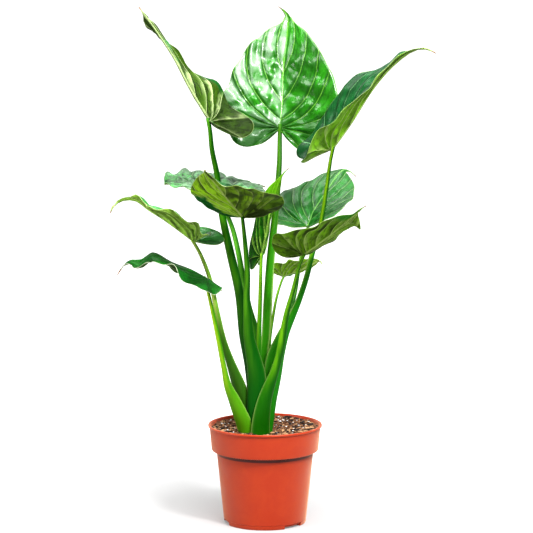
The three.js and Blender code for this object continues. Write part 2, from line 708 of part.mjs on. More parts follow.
function stalkGeometry(leaf, extra) {
  const seat = ribFrame(leaf, stalkSeat);
  const end = seat.point.addScaledVector(seat.face, stalkOverrun).toArray();
  const curve = smoothCurve([...leaf.stalk.path, end]);
  const shape = stalkShape(leaf.stalk);
  const corners = [];
  for (let i = 0; i <= stalkRings; i += 1) {
    const share = (i / stalkRings) ** stalkSpacing;
    const centre = curve.point(share);
    const heading = curve.heading(share);
    const out = new THREE.Vector3(...leaf.stalk.out);
    out.addScaledVector(heading, -out.dot(heading)).normalize();
    const across = out.clone().cross(heading);
    for (let k = 0; k < stalkSides; k += 1) {
      const width = valueAt(shape.width, share) + extra;
      const thickness = valueAt(shape.thickness, share) + extra;
      const angle = (k / stalkSides) * 2 * Math.PI;
      const [aside, outward] = stalkSection(angle, width, thickness, valueAt(shape.wrap, share));
      const corner = centre.clone().addScaledVector(across, aside).addScaledVector(out, outward);
      corners.push(corner.toArray());
    }
  }
  return closedGeometry(corners, tubeTriangles(stalkRings, stalkSides));
}

// Triangles of a tube of rings with flat fans at both ends
function tubeTriangles(rings, sides) {
  const triangles = [];
  const at = (ring, k) => ring * sides + (k % sides);
  for (let ring = 0; ring < rings; ring += 1) {
    for (let k = 0; k < sides; k += 1) {
      triangles.push([at(ring, k), at(ring, k + 1), at(ring + 1, k + 1)]);
      triangles.push([at(ring, k), at(ring + 1, k + 1), at(ring + 1, k)]);
    }
  }
  for (let k = 1; k < sides - 1; k += 1) {
    triangles.push([at(0, 0), at(0, k + 1), at(0, k)]);
    triangles.push([at(rings, 0), at(rings, k), at(rings, k + 1)]);
  }
  return triangles;
}

function named(name, geometry, material) {
  geometry.computeVertexNormals();
  const mesh = new THREE.Mesh(geometry, material);
  mesh.name = name;
  return mesh;
}

function stalks() {
  const groundDepth = 40;
  const groundWidth = 2 * bodyTopRadius;
  const groundBox = new THREE.BoxGeometry(groundWidth, groundWidth, groundDepth);
  const ground = toSolid(groundBox.translate(0, 0, seatLevel + gap - groundDepth / 2));
  const meshes = [];
  const earlier = [];
  const crown = crownSolid(gap);
  for (const [name, leaf] of Object.entries(leaves)) {
    const blade = toSolid(bladeGeometry(leaf, bladeThickness));
    let solid = toSolid(stalkGeometry(leaf, 0)).subtract(ground).subtract(crown);
    for (const other of earlier) solid = solid.subtract(other);
    solid = clearOf(mainBody(solid), blade);
    earlier.push(toSolid(stalkGeometry(leaf, stalkGap)));
    meshes.push(named(`petiole_${name}`, fromSolid(mainBody(solid)), stalkMaterial));
  }
  return meshes;
}

for (const leaf of Object.values(leaves)) {
  leaf.curve = smoothCurve(leaf.rib);
  leaf.size = leaf.curve.reach / tipReach;
}

const plant = new THREE.Group();
plant.name = "potted_chinese_taro";
plant.add(named("pot", pot(), potMaterial));
plant.add(named("soil", soil(), soilMaterial));
plant.add(named("crown", fromSolid(crownSolid(0)), crownMaterial));
for (const [name, leaf] of Object.entries(leaves)) {
  const material = name === "young" ? youngMaterial : bladeMaterial;
  plant.add(named(`blade_${name}`, bladeGeometry(leaf, bladeThickness), material));
}
plant.add(...stalks());

export default plant;
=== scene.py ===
from math import radians

import bpy
import numpy as np
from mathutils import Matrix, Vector


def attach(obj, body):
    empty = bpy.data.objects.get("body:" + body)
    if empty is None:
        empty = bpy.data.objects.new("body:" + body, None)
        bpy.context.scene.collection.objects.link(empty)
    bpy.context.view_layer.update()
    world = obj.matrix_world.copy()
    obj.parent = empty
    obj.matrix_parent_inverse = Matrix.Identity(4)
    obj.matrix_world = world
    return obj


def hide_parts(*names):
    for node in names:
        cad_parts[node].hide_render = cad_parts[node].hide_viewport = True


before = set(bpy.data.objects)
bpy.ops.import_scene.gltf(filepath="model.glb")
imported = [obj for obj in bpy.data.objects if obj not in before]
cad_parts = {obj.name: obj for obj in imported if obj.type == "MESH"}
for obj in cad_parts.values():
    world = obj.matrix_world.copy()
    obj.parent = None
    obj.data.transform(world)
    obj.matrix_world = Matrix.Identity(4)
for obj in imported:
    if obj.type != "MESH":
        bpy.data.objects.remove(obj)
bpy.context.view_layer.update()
scene = bpy.context.scene
metre = 0.001  # sizes are in millimetres unless a line says otherwise; node values are in metres


def tint(red, green, blue):
    # A screen colour of 0 to 255 as linear red, green, blue and a full alpha, by the standard screen curve
    share = np.array([red, green, blue]) / 255
    linear = np.where(share <= 0.04045, share / 12.92, ((share + 0.055) / 1.055) ** 2.4)
    return (*linear.tolist(), 1.0)


# View: the plant stands on the origin, and the camera looks along +Y and a little down
view = {
    "distance": 3600,
    "height": 900,
    "pitch": 7.41,  # degrees
    "lens": 147.7,
    "sensor": 36,
    "shift": 0.0028,  # share of the picture's width
    "farthest": 100,  # metres
}


def addCamera():
    data = bpy.data.cameras.new("camera")
    data.lens = view["lens"]
    data.sensor_width = view["sensor"]
    data.shift_x = view["shift"]
    data.clip_end = view["farthest"]
    camera = bpy.data.objects.new("camera", data)
    camera.location = (0, -view["distance"] * metre, view["height"] * metre)
    camera.rotation_euler = (radians(90 - view["pitch"]), 0, 0)
    scene.collection.objects.link(camera)
    scene.camera = camera


# Mesh tools

def addMesh(name, points, quads, values, material):
    # A mesh of quads given as point numbers: a quad that names a point twice becomes a triangle, and
    # points that no quad names are dropped. values holds one number for each point under each name.
    used, corners = np.unique(quads, return_inverse=True)
    corners = corners.reshape(-1, 4)
    keep = corners != np.roll(corners, 1, axis=1)
    keep &= keep.sum(axis=1, keepdims=True) > 2
    sides = keep.sum(axis=1)
    sides = sides[sides > 0]
    mesh = bpy.data.meshes.new(name)
    mesh.vertices.add(len(used))
    mesh.vertices.foreach_set("co", (points[used] * metre).astype(np.float32).ravel())
    mesh.loops.add(int(sides.sum()))
    mesh.loops.foreach_set("vertex_index", corners[keep].astype(np.int32))
    mesh.polygons.add(len(sides))
    mesh.polygons.foreach_set("loop_start", (np.cumsum(sides) - sides).astype(np.int32))
    mesh.update(calc_edges=True)
    mesh.validate()
    mesh.shade_smooth()
    for key, value in values.items():
        layer = mesh.attributes.new(key, "FLOAT", "POINT")
        layer.data.foreach_set("value", np.asarray(value, dtype=np.float32).ravel()[used])
    mesh.materials.append(material)
    piece = bpy.data.objects.new(name, mesh)
    scene.collection.objects.link(piece)
    return piece


def fitPiece(piece, slot, *nodes):
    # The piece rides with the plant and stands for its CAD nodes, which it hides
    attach(piece, "root")
    if nodes:
        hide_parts(*nodes)
    return piece


def gridQuads(index):
    # Quads between neighbouring entries of a grid of point numbers, facing column cross row
    near, far = index[:-1], index[1:]
    return joined(near[:, :-1], near[:, 1:], far[:, 1:], far[:, :-1]).reshape(-1, 4)


def joined(*parts):
    # Coordinates or point numbers, stretched to one another's grid, as points or faces
    return np.stack(np.broadcast_arrays(*parts), -1)


def turnedIndex(rings, sides):
    # Point numbers of a closed turned form: each end ring is one point, and the first column is also the last
    index = np.arange(rings * sides).reshape(rings, sides)
    index[0] = index[0, 0]
    index[-1] = index[-1, 0]
    return np.concatenate([index, index[:, :1]], axis=1)


def addTurned(name, rings, values, material):
    # A closed turned form from its rings of points
    return addMesh(name, rings.reshape(-1, 3), gridQuads(turnedIndex(*rings.shape[:2])), values, material)


def evenAngles(sides):
    return np.arange(sides) / sides * 2 * np.pi


def sheetQuads(index, shift):
    # Both faces of a sheet and the wall round its borders; the lower face's point numbers are higher by shift
    quads = [gridQuads(index), gridQuads(index + shift)[:, ::-1]]
    for border in (index[:, 0], index[::-1, -1], index[0, ::-1], index[-1]):
        near, far = border[:-1], border[1:]
        quads.append(joined(near, far, far + shift, near + shift))
    return np.concatenate(quads)


def pointNormals(points, quads):
    # Each point's normal is the sum of its faces' normals weighted by area, made one long
    corners = points[quads]
    facing = np.cross(corners[:, 2] - corners[:, 0], corners[:, 3] - corners[:, 1])
    total = np.zeros_like(points)
    for corner in range(4):
        np.add.at(total, quads[:, corner], facing)
    return unit(total)


def unit(vectors):
    return vectors / np.maximum(np.linalg.norm(vectors, axis=-1, keepdims=True), 1e-9)


def smoothStep(value, low, high):
    # 0 below low, 1 above high, an S-shaped rise between: 3 share squared less 2 share cubed
    share = np.clip((value - low) / (high - low), 0, 1)
    return share * share * (3 - 2 * share)


def soften(line):
    # The mean over nine neighbouring values
    return np.convolve(np.pad(line, 4, mode="edge"), np.ones(9) / 9, "valid")


def smoothCurve(points):
    # A cubic through the points by the share of chord length, each slope the mean over its two neighbours.
    # Gives the functions for point and heading, and the chord length.
    places = np.asarray(points, float)
    steps = np.linalg.norm(np.diff(places, axis=0), axis=1)
    knots = np.concatenate([[0], np.cumsum(steps)]) / steps.sum()
    slopes = np.zeros_like(places)
    slopes[1:-1] = (places[2:] - places[:-2]) / (knots[2:] - knots[:-2])[:, None]
    slopes[0] = 1.5 * (places[1] - places[0]) / (knots[1] - knots[0]) - 0.5 * slopes[1]
    slopes[-1] = 1.5 * (places[-1] - places[-2]) / (knots[-1] - knots[-2]) - 0.5 * slopes[-2]

    def pointAt(share):
        u = np.clip(share, 0, 1)
        k = np.clip(np.searchsorted(knots, u, side="right") - 1, 0, len(places) - 2)
        span = (knots[k + 1] - knots[k])[..., None]
        f = (u[..., None] - knots[k][..., None]) / span
        start = (2 * f ** 3 - 3 * f ** 2 + 1) * places[k] + (f ** 3 - 2 * f ** 2 + f) * span * slopes[k]
        end = (3 * f ** 2 - 2 * f ** 3) * places[k + 1] + (f ** 3 - f ** 2) * span * slopes[k + 1]
        return start + end

    def headingAt(share):
        return unit(pointAt(np.minimum(share + 0.001, 1)) - pointAt(np.maximum(share - 0.001, 0)))

    return pointAt, headingAt, steps.sum()


# Shader tools

def feed(node, inputs):
    # Links each socket and sets each value given for the node's inputs
    for key, value in inputs.items():
        if isinstance(value, bpy.types.NodeSocket):
            node.id_data.links.new(value, node.inputs[key])
        else:
            node.inputs[key].default_value = value
    return node


def nodeTree(tree):
    # A short way to add a node with its settings and inputs
    def add(kind, inputs=None, **settings):
        node = tree.nodes.new(kind)
        for key, value in settings.items():
            setattr(node, key, value)
        return feed(node, inputs or {})
    return add


def attribute(add, name):
    return add("ShaderNodeAttribute", attribute_name=name).outputs["Fac"]


def objectPlace(add):
    return add("ShaderNodeTexCoord").outputs["Object"]


def noise(add, place, settings):
    return add("ShaderNodeTexNoise", {"Vector": place, **settings}).outputs[0]


def remap(add, value, places, levels, kind="LINEAR"):
    # Maps the two places to the two levels
    keys = ("Value", "From Min", "From Max", "To Min", "To Max")
    inputs = dict(zip(keys, (value, *places, *levels)))
    return add("ShaderNodeMapRange", inputs, interpolation_type=kind).outputs[0]


def fade(add, value, low, high):
    # 1 at low and below, 0 at high and above, smooth between
    return remap(add, value, (low, high), (1.0, 0.0), "SMOOTHSTEP")


def blend(add, mask, first, second):
    # The first colour where the mask is 0, the second where it is 1
    return feed(add("ShaderNodeMix", data_type="RGBA"), {0: mask, 6: first, 7: second}).outputs[2]


def calc(add, operation, *values):
    return feed(add("ShaderNodeMath", operation=operation), dict(enumerate(values))).outputs[0]


def times(add, first, second):
    return calc(add, "MULTIPLY", first, second)


def rest(add, value):
    # What is left of 1
    return calc(add, "SUBTRACT", 1.0, value)


def paint(add, marks, colour, coats):
    # Each coat is a mark, how strongly it covers, and its colour
    for mark, strength, over in coats:
        colour = blend(add, times(add, marks[mark], strength), colour, over)
    return colour


def startGroup(name, inputs, outputs):
    # A node group with the named float inputs and outputs
    group = bpy.data.node_groups.new(name, "ShaderNodeTree")
    for way, keys in (("INPUT", inputs), ("OUTPUT", outputs)):
        for key in keys:
            group.interface.new_socket(name=key, in_out=way, socket_type="NodeSocketFloat")
    add = nodeTree(group)
    return group, add, add("NodeGroupInput").outputs, add("NodeGroupOutput")


def placeGroup(add, group, values):
    node = add("ShaderNodeGroup")
    node.node_tree = group
    return feed(node, values).outputs


def startMaterial(name):
    material = bpy.data.materials.new(name)
    material.use_nodes = True
    tree = material.node_tree
    tree.nodes.clear()
    add = nodeTree(tree)
    surface = add("ShaderNodeBsdfPrincipled")
    add("ShaderNodeOutputMaterial", {0: surface.outputs[0]})
    return material, add, surface


def bump(add, height, strength, distance):
    return add("ShaderNodeBump", {"Height": height, "Strength": strength, "Distance": distance}).outputs[0]


# Leaf tissue: half widths of its lines in millimetres, its noises, and between which values each mark fades
tissueForm = {
    "widths": {"Vein Width": 1.2, "Rib Width": 2.4, "Edge Width": 1.3},
    "ribCore": 0.4,
    "mottle": {"Scale": 22.0, "Detail": 4.0, "Roughness": 0.6},
    "blotch": {"Scale": 34.0, "Detail": 2.0, "Distortion": 0.4},
    "uneven": {"Scale": 13.0, "Detail": 2.0},
    "groove": {"Scale": 1.0, "Detail": 2.0, "Distortion": 0.5},
    "grain": {"Scale": 220.0, "Detail": 3.0},
    "creaseFade": [0.25, 0.85],
    "pleatJitter": 0.9,
    "ridgeHighlightFade": [0.0, 0.36],
    "ridgeHighlightGaps": [0.36, 0.6],
    "shadowFade": [0.45, 0.92],
    "shadowGaps": [0.34, 0.62],
    "shadowShare": 0.25,
    "blotchFade": [0.36, 0.6],
    "grooveFade": [0.36, 0.5],
    "grainShare": 0.5,
}


def addTissueGroup():
    # Veins, creases and margin from the distances kept on the mesh; pleats beside the veins, with a painted
    # highlight on one side and painted shade on the other, broken up by noise; mottling, blotches, grooves,
    # and the relief's height
    form = tissueForm
    outputs = ["Vein", "Edge", "Crease", "PleatShade", "RidgeHighlight", "Mottle", "Blotch", "Groove", "Height"]
    group, add, given, made = startGroup("leafTissue", form["widths"], outputs)
    vein = fade(add, attribute(add, "veinDistance"), 0.0, given["Vein Width"])
    ribCore = times(add, given["Rib Width"], form["ribCore"])
    rib = fade(add, attribute(add, "ribDistance"), ribCore, given["Rib Width"])
    place = objectPlace(add)
    mottle, blotch, uneven, grain = (
        noise(add, place, form[key]) for key in ("mottle", "blotch", "uneven", "grain"))
    jitter = form["pleatJitter"]
    pleat = calc(add, "ADD", attribute(add, "pleat"), calc(add, "MULTIPLY_ADD", mottle, jitter, -jitter / 2))
    # Painted shade on the far side of each pleat, broken up by noise; the painted highlight lies on its near
    # side
    shadow = rest(add, fade(add, pleat, *form["shadowFade"]))
    broken = times(add, shadow, rest(add, fade(add, uneven, *form["shadowGaps"])))
    course = {"X": attribute(add, "grooveRow"), "Y": attribute(add, "grooveColumn")}
    course = add("ShaderNodeCombineXYZ", course).outputs[0]
    feed(made, {
        "Vein": calc(add, "MAXIMUM", vein, rib),
        "Edge": fade(add, attribute(add, "marginDistance"), 0.0, given["Edge Width"]),
        "Crease": fade(add, attribute(add, "dome"), *form["creaseFade"]),
        "PleatShade": calc(add, "MULTIPLY_ADD", shadow, form["shadowShare"], broken),
        "RidgeHighlight": times(add, fade(add, pleat, *form["ridgeHighlightFade"]), fade(add, uneven, *form["ridgeHighlightGaps"])),
        "Mottle": mottle,
        "Blotch": fade(add, blotch, *form["blotchFade"]),
        "Groove": fade(add, noise(add, course, form["groove"]), *form["grooveFade"]),
        "Height": calc(add, "ADD", times(add, grain, form["grainShare"]), mottle),
    })
    return group


# Wear of plastic, soil and stalks alike: patches, fine scuffs and grain. Each material gives the scales of
# the three under "wear".
wearForm = {
    "Patch": {"Detail": 3.0},
    "Scuff": {"Detail": 6.0, "Roughness": 0.7, "Distortion": 0.6},
    "Grain": {"Detail": 1.0},
}
scuffFade = [0.36, 0.6]


def addWearGroup():
    # Three noises from Object coordinates, each of its own scale; the scuffs are cut to narrow marks
    group, add, given, made = startGroup("surfaceWear", [f"{mark} Scale" for mark in wearForm], wearForm)
    place = objectPlace(add)
    marks = {mark: noise(add, place, {"Scale": given[f"{mark} Scale"], **settings})
             for mark, settings in wearForm.items()}
    feed(made, {**marks, "Scuff": fade(add, marks["Scuff"], *scuffFade)})
    return group


def addWear(add, wear, scales):
    return placeGroup(add, wear, {f"{mark} Scale": scale for mark, scale in zip(wearForm, scales)})


# Leaves. The blade is a flat heart first, one long from joint to apex, then bent into space. Rows run along
# the outline from 0 to 1 and columns from midrib to margin; the heights of quilt, midrib and veins are for
# blades of quiltLength and ribLength and grow with the blade.
heart = {
    "halfOutline": [[0.012, -0.03], [0.08, -0.11], [0.19, -0.19], [0.32, -0.2], [0.44, -0.11], [0.505, 0.05],
                    [0.5, 0.25], [0.44, 0.46], [0.335, 0.67], [0.2, 0.85], [0.075, 0.965], [0.022, 1.04],
                    [0, 1.16]],
    "lobePoints": 4,
    "tipReach": 1.16,
    "ribStarts": [[0, 0], [0.58, 0], [0.7, 0.07], [0.82, 0.24], [0.92, 0.5], [1, 1.16]],
    "veinBend": [[0, 0], [0.2, -0.1], [0.31, 0], [0.44, 0.15], [0.57, 0.25], [0.69, 0.3], [0.945, 0.22],
                 [1, 0.05]],
    "foldStations": [-0.25, 0.1, 0.45, 0.8, 1.16],
    "veinRows": [0.13, 0.27, 0.42, 0.58, 0.7, 0.82, 0.92],
    "rowsPerPanel": 13,
    "columns": 30,
    "columnSpread": 1.35,
    "thickness": 1.0,
    "edgeThickness": 0.5,
    "edgeBand": 6,
    "quilt": 3.4,
    "quiltLength": 200,
    "fullBreadth": 0.4,
    "domePower": 0.85,
    "envelopePowers": [0.85, 0.7],
    "lumpWaves": 9,
    "lumpLength": [0.08, 0.24],
    "lumpsAtVein": 0.3,
    "ribHeight": 1.9,
    "ribWidth": 2.6,
    "ribLength": 180,
    "tipTaper": 0.75,
    "veinHeight": 0.8,
    "veinWidth": 1.3,
    "veinBand": 12,
    "veinPower": 0.6,
    "grooveDepth": 0.5,
    "grooveWidth": 2.0,
    "shadeColumns": [-0.1, 0.1],
    "lobeFade": [-0.02, 0.16],
    "turnedSoftness": [0.05, 0.04],
    "stalkSeat": 0.035,
    # colour of the painted pale reflection on the upper side
    "paintedReflectionColour": tint(206, 232, 204),
    "dryColour": tint(150, 110, 70),
    "grooves": [36, 5],
}
ruffleForm = {
    "columnPower": 2.5,
    "rowPower": 0.4,
    "secondShare": 0.5,
    "secondPace": 1.63,
    "secondPhase": 0.7,
    "swing": 0.7,
    "swingPhase": 1.2,
}

# Each leaf as the part's source gives it: midrib, the way its upper side faces at joint, middle and tip, and
# for its right and left half the fold at the five stations, curl if any, width, dip, wave and puckers; then
# its stalk's path, the way its sheath faces, the sheath's top as a share of the length and its width, and the
# radii above the sheath and at the blade
leaves = {
    "mid_right_front": {
        "rib": [[62, -60, 459], [92, -90, 485], [123, -120, 514], [143, -145, 534], [152, -150, 543],
                [161, -150, 549]],
        "face": [[-0.29, 0.42, 0.86], [-0.44, 0.36, 0.82], [-0.48, 0.44, 0.76]],
        "right": {"fold": [0.75, 0.5, 0.35, 0.35, 0.7], "width": 0.9, "dip": 0.27, "wave": [0.02, 2.7, 0.1],
                  "puckers": [[0.55, 0.1, 0, -0.06], [0.97, 0.05, 0, -0.03]]},
        "left": {"fold": [0.2, 0.27, 0.16, -0.05, 0], "width": 0.86, "dip": -0.23, "wave": [0.02, 2.5, 0.3],
                 "puckers": [[0.78, 0.08, -0.12, -0.05]]},
        "path": [[0, -20, 141], [2, -23, 208], [13, -26, 260], [23, -30, 300], [34, -36, 353], [46, -46, 398],
                 [56, -56, 440]],
        "stalk": {"out": [0.35, -0.94, 0], "sheath": [0.66, 14.5], "radii": [5, 2.7]},
    },
    "low_left": {
        "rib": [[-95, -45, 419], [-123, -45, 434], [-152, -45, 445], [-183, -45, 461], [-205, -45, 448],
                [-219, -45, 449], [-230, -45, 442], [-244, -45, 421]],
        "face": [[0.47, 0, 0.88], [0.44, -0.08, 0.9], [-0.87, 0.13, 0.48]],
        "right": {"fold": [-0.6, -0.55, -0.5, -0.55, -0.45], "width": 0.42, "dip": 0,
                  "wave": [0.02, 2.8, 0.3]},
        "left": {"fold": [-0.4, -0.35, 0.05, -0.43, -0.7], "width": 0.65, "dip": -0.2,
                 "wave": [0.02, 2.8, 0.3]},
        "path": [[-27, -15, 141], [-37, -20, 180], [-47, -23, 208], [-60, -27, 237], [-68, -30, 268],
                 [-75, -34, 305], [-84, -40, 351], [-92, -44, 389]],
        "stalk": {"out": [-0.45, -0.89, 0], "sheath": [0.42, 13], "radii": [4, 2.2]},
    },
    "mid_left_front": {
        "rib": [[-35, -60, 520], [-59, -110, 554], [-80, -160, 587], [-94, -190, 606], [-92, -205, 610]],
        "face": [[0, 0.55, 0.83], [-0.06, 0.58, 0.81], [0.11, 0.23, 0.97]],
        "right": {"fold": [0.35, 0.47, 0.37, 0.3, 0.7], "width": 0.93, "dip": -0.33,
                  "wave": [0.01, 2.5, 0.3]},
        "left": {"fold": [0.34, 0.22, -0.1, -0.23, -0.12], "width": 0.94, "dip": -0.14,
                 "wave": [0.015, 2.7, 0.1], "puckers": [[0.88, 0.07, -0.07, 0]]},
        "path": [[-15, -20, 141], [-15, -24, 208], [-16, -27, 261], [-25, -29, 321], [-30, -32, 382],
                 [-29, -40, 427], [-33, -50, 482]],
        "stalk": {"out": [-0.2, -0.98, 0], "sheath": [0.6, 15], "radii": [5.4, 2.6]},
    },
    "top_right": {
        "rib": [[108, -5, 626], [140, -8, 670], [175, -12, 725], [206, -16, 762], [241, -18, 789],
                [261, -18, 792], [279, -18, 785]],
        "face": [[-0.76, 0.31, 0.56], [-0.81, -0.1, 0.58], [0.45, 0, 0.89]],
        "right": {"fold": [-0.1, 0.25, 0.25, 0.28, 0.43], "width": 0.74, "dip": -0.38,
                  "wave": [0.02, 2.7, 0.1]},
        "left": {"fold": [1.15, 0.86, 0.74, 0.08, 0.38], "width": 0.61, "dip": -0.18,
                 "wave": [0.02, 2.5, 0.3], "puckers": [[0.7, 0.06, 0, -0.04], [0.87, 0.06, 0, 0.035]]},
        "path": [[8, -6, 141], [16, -7, 204], [27, -5, 249], [34, -2, 292], [40, 1, 325], [57, 5, 376],
                 [69, 7, 413], [79, 8, 454], [92, 7, 499], [102, 1, 564], [108, -4, 609]],
        "stalk": {"out": [0.95, -0.3, 0], "sheath": [0.4, 11], "radii": [5, 2.7]},
    },
    "side_left": {
        "rib": [[-116, -20, 476], [-165, -20, 512], [-193, -15, 529], [-212, -15, 543], [-232, -15, 544],
                [-247, -15, 536], [-255, -15, 522]],
        "face": [[0.6, 0, 0.8], [0.54, 0.23, 0.81], [-0.67, 0.7, 0.25]],
        "right": {"fold": [1, 0.3, 0.33, 0.47, 1.3], "width": 0.68, "dip": -0.16,
                  "wave": [0.02, 2.7, 0.1], "lobe": 1.35},
        "left": {"fold": [0.04, 0.45, 0.15, -0.32, -0.63], "width": 0.95, "dip": -1.2,
                 "wave": [0.02, 2.5, 0.3]},
        "path": [[-25, -3, 141], [-37, -8, 193], [-48, -13, 234], [-57, -16, 267], [-69, -18, 311],
                 [-80, -17, 361], [-91, -14, 412], [-106, -17, 453]],
        "stalk": {"out": [-0.75, -0.65, 0], "sheath": [0.5, 11], "radii": [4.6, 2.6]},
    },
    "top_left": {
        "rib": [[-90, -25, 674], [-123, -20, 728], [-147, -12, 774], [-170, -6, 809], [-188, -2, 835],
                [-207, 2, 860]],
        "face": [[-0.09, 0.99, -0.14], [0.03, 0.99, -0.17], [0.42, 0.89, 0.19]],
        "right": {"fold": [1.68, 1.68, 1.62, 1.55, -0.6], "width": 1, "dip": 1.4, "wave": [0, 2.5, 0],
                  "puckers": [[0.87, 0.08, 0, -0.1], [1, 0.06, 0, 0.04]]},
        "left": {"fold": [0.6, 1, 1.2, 1.62, 1.65], "curl": 0.1, "width": 1.12, "dip": 0,
                 "wave": [0.035, 2.27, 0.11], "lobe": 1.35,
                 "puckers": [[-0.04, 0.12, 0, -0.07], [0.68, 0.14, 0, -0.1]]},
        "path": [[-18, 8, 141], [-22, 10, 205], [-28, 10, 264], [-37, 8, 315], [-42, 6, 376], [-47, 4, 407],
                 [-57, 7, 451], [-71, 7, 518], [-79, -1, 584], [-87, -15, 627], [-90, -23, 660]],
        "stalk": {"out": [-0.5, -0.86, 0], "sheath": [0.62, 13], "radii": [6, 3.1]},
    },
    "top_centre": {
        "rib": [[25, 90, 656], [29, 108, 699], [32, 136, 760], [40, 174, 835], [34, 174, 849],
                [22, 172, 859]],
        "face": [[0, -0.9, 0.45], [0, -0.9, 0.45], [0.1, -0.9, 0.45]],
        "right": {"fold": [0.15, 0.2, 0.4, 0.5, 0.5], "width": 1, "dip": 0, "wave": [0.012, 3, 0.4]},
        "left": {"fold": [0.15, 0.15, 0.1, 0.15, 0.2], "width": 1, "dip": 0, "wave": [0.012, 3, 0.2]},
        "path": [[-5, 6, 141], [-3, 8, 205], [-2, 11, 274], [2, 14, 314], [5, 18, 375], [10, 26, 448],
                 [17, 42, 513], [24, 70, 595], [25, 88, 642]],
        "stalk": {"out": [0.2, 0.98, 0], "sheath": [0.5, 10], "radii": [6.6, 3.4]},
    },
    "mid_right_back": {
        "rib": [[73, 102, 487], [83, 122, 511], [95, 142, 527], [111, 167, 548], [135, 202, 575],
                [148, 209, 573], [160, 212, 562]],
        "face": [[-0.2, -0.74, 0.64], [0.06, -0.66, 0.75], [0.64, -0.62, 0.45]],
        "right": {"fold": [0.8, 0.6, 0.43, 0.4, 0.2], "width": 0.9, "dip": -0.73, "wave": [0.008, 3, 0.3]},
        "left": {"fold": [0.3, 0.4, -0.03, -0.55, -1.2], "width": 0.83, "dip": -0.72, "wave": [0.01, 3, 0.2]},
        "path": [[5, 8, 141], [15, 18, 203], [25, 36, 268], [36, 58, 324], [50, 82, 373], [57, 92, 413],
                 [68, 100, 464]],
        "stalk": {"out": [0.75, 0.66, 0], "sheath": [0.45, 10], "radii": [4.4, 2.5]},
    },
    "mid_left_back": {
        "rib": [[-94, 72, 554], [-68, 122, 555], [-36, 177, 552], [-12, 217, 548], [1, 237, 542]],
        "face": [[0.07, -0.08, 0.99], [0.18, -0.03, 0.98], [0.15, 0.21, 0.97]],
        "right": {"fold": [-0.25, -0.17, -0.07, -0.1, -0.17], "width": 0.88, "dip": -0.07,
                  "wave": [0.02, 3, 0.3]},
        "left": {"fold": [0.05, 0.05, 0.1, 0.15, 0.2], "width": 1.07, "dip": 0.06,
                 "wave": [0.035, 3.3, 0], "puckers": [[0.22, 0.09, 0.05, 0]]},
        "path": [[-3, 12, 141], [-2, 17, 203], [-3, 22, 245], [-12, 29, 312], [-26, 37, 362], [-37, 45, 407],
                 [-46, 55, 454], [-56, 63, 492], [-74, 70, 531]],
        "stalk": {"out": [0, 1, 0], "sheath": [0.45, 10], "radii": [4.4, 2.5]},
    },
    "low_right": {
        "rib": [[30, 62, 407], [52, 60, 415], [79, 58, 427], [91, 56, 434], [97, 55, 426]],
        "face": [[-0.14, 0.75, 0.64], [-0.23, 0.76, 0.61], [0.71, 0.63, 0.32]],
        "right": {"fold": [0.05, -0.15, -0.15, -0.25, -0.3], "width": 1.2, "dip": -0.1,
                  "wave": [0.015, 2.5, 0.3]},
        "left": {"fold": [0.27, 0.67, 0.5, 0.55, 0.66], "width": 0.6, "dip": -1.3, "wave": [0.01, 2.5, 0.3]},
        "path": [[2, 13, 141], [3, 20, 203], [6, 32, 269], [8, 40, 303], [11, 46, 325], [19, 56, 369],
                 [27, 61, 396]],
        "stalk": {"out": [0.5, 0.86, 0], "sheath": [0.4, 8], "radii": [3.2, 1.8]},
    },
    "young": {
        "rib": [[-7, -8, 450], [1, -9, 485], [7, -11, 519], [15, -13, 549], [23, -15, 574], [31, -16, 589],
                [39, -16, 597]],
        "face": [[-0.14, 0.99, 0.05], [-0.09, 0.99, 0.09], [-0.06, 1, 0.05]],
        "right": {"fold": [1.07, 0.91, 0.87, 0.6, 0.6], "curl": 1.3, "width": 0.55, "dip": 0.25,
                  "wave": [0, 2.5, 0]},
        "left": {"fold": [1.1, 1, 1.12, 1, 1.1], "curl": 2, "width": 0.84, "dip": -0.64, "wave": [0, 2.5, 0]},
        "path": [[-10, -5, 207.6], [-11, -9, 276], [-10, -10, 318], [-8, -10, 379], [-7, -9, 427]],
        "stalk": {"out": [-0.3, -0.95, 0], "sheath": [0.5, 6], "radii": [3.6, 2.4]},
    },
}

# The finish of each blade and its stalk.
# Colours: both sides and their veins, turnedColour of a margin turned over, tip of the blade's front end, and
# the stalk's light, deep and sheath colour, light and deep being its sides with painted highlight and painted
# shade (deep also for its wear patches).
# Heights: quilt as a factor of the heart's, lumps as a share of it, and ruffle for the right and left margin
# (millimetres, count, phase).
# Strengths: dark is the share of the upper colour left in its darkest spots; upperGrooveShade, veins, pleat,
# ridge, grooves and edge are how far each mark shows, where upperGrooveShade and grooves are painted shade in
# the grooves of the upper and lower side, pleat is painted shade in the pleats and ridge a painted highlight
# beside the veins; shade is painted shade on the right half, left half and lobes; coat is the clear shine and
# gloss its roughness.
# Places: paintedReflection is a painted pale reflection by column, from -1 at the left margin to 1 at the
# right; turned gives side, start and end along the blade and first column; dryTip and sheathFade are shares
# of blade and stalk.
lookDefaults = {
    "dark": 0.5, "lumps": 0.5, "upperGrooveShade": 0.2, "veins": 1, "pleat": 0.9, "ridge": 0.4, "grooves": 0.4,
    "edge": 0.5, "shade": [0, 0, 0], "coat": 1.0, "tip": None, "paintedReflection": [], "turned": [], "dryTip": 0.985,
    "sheathFade": [0.2, 0.6],
}
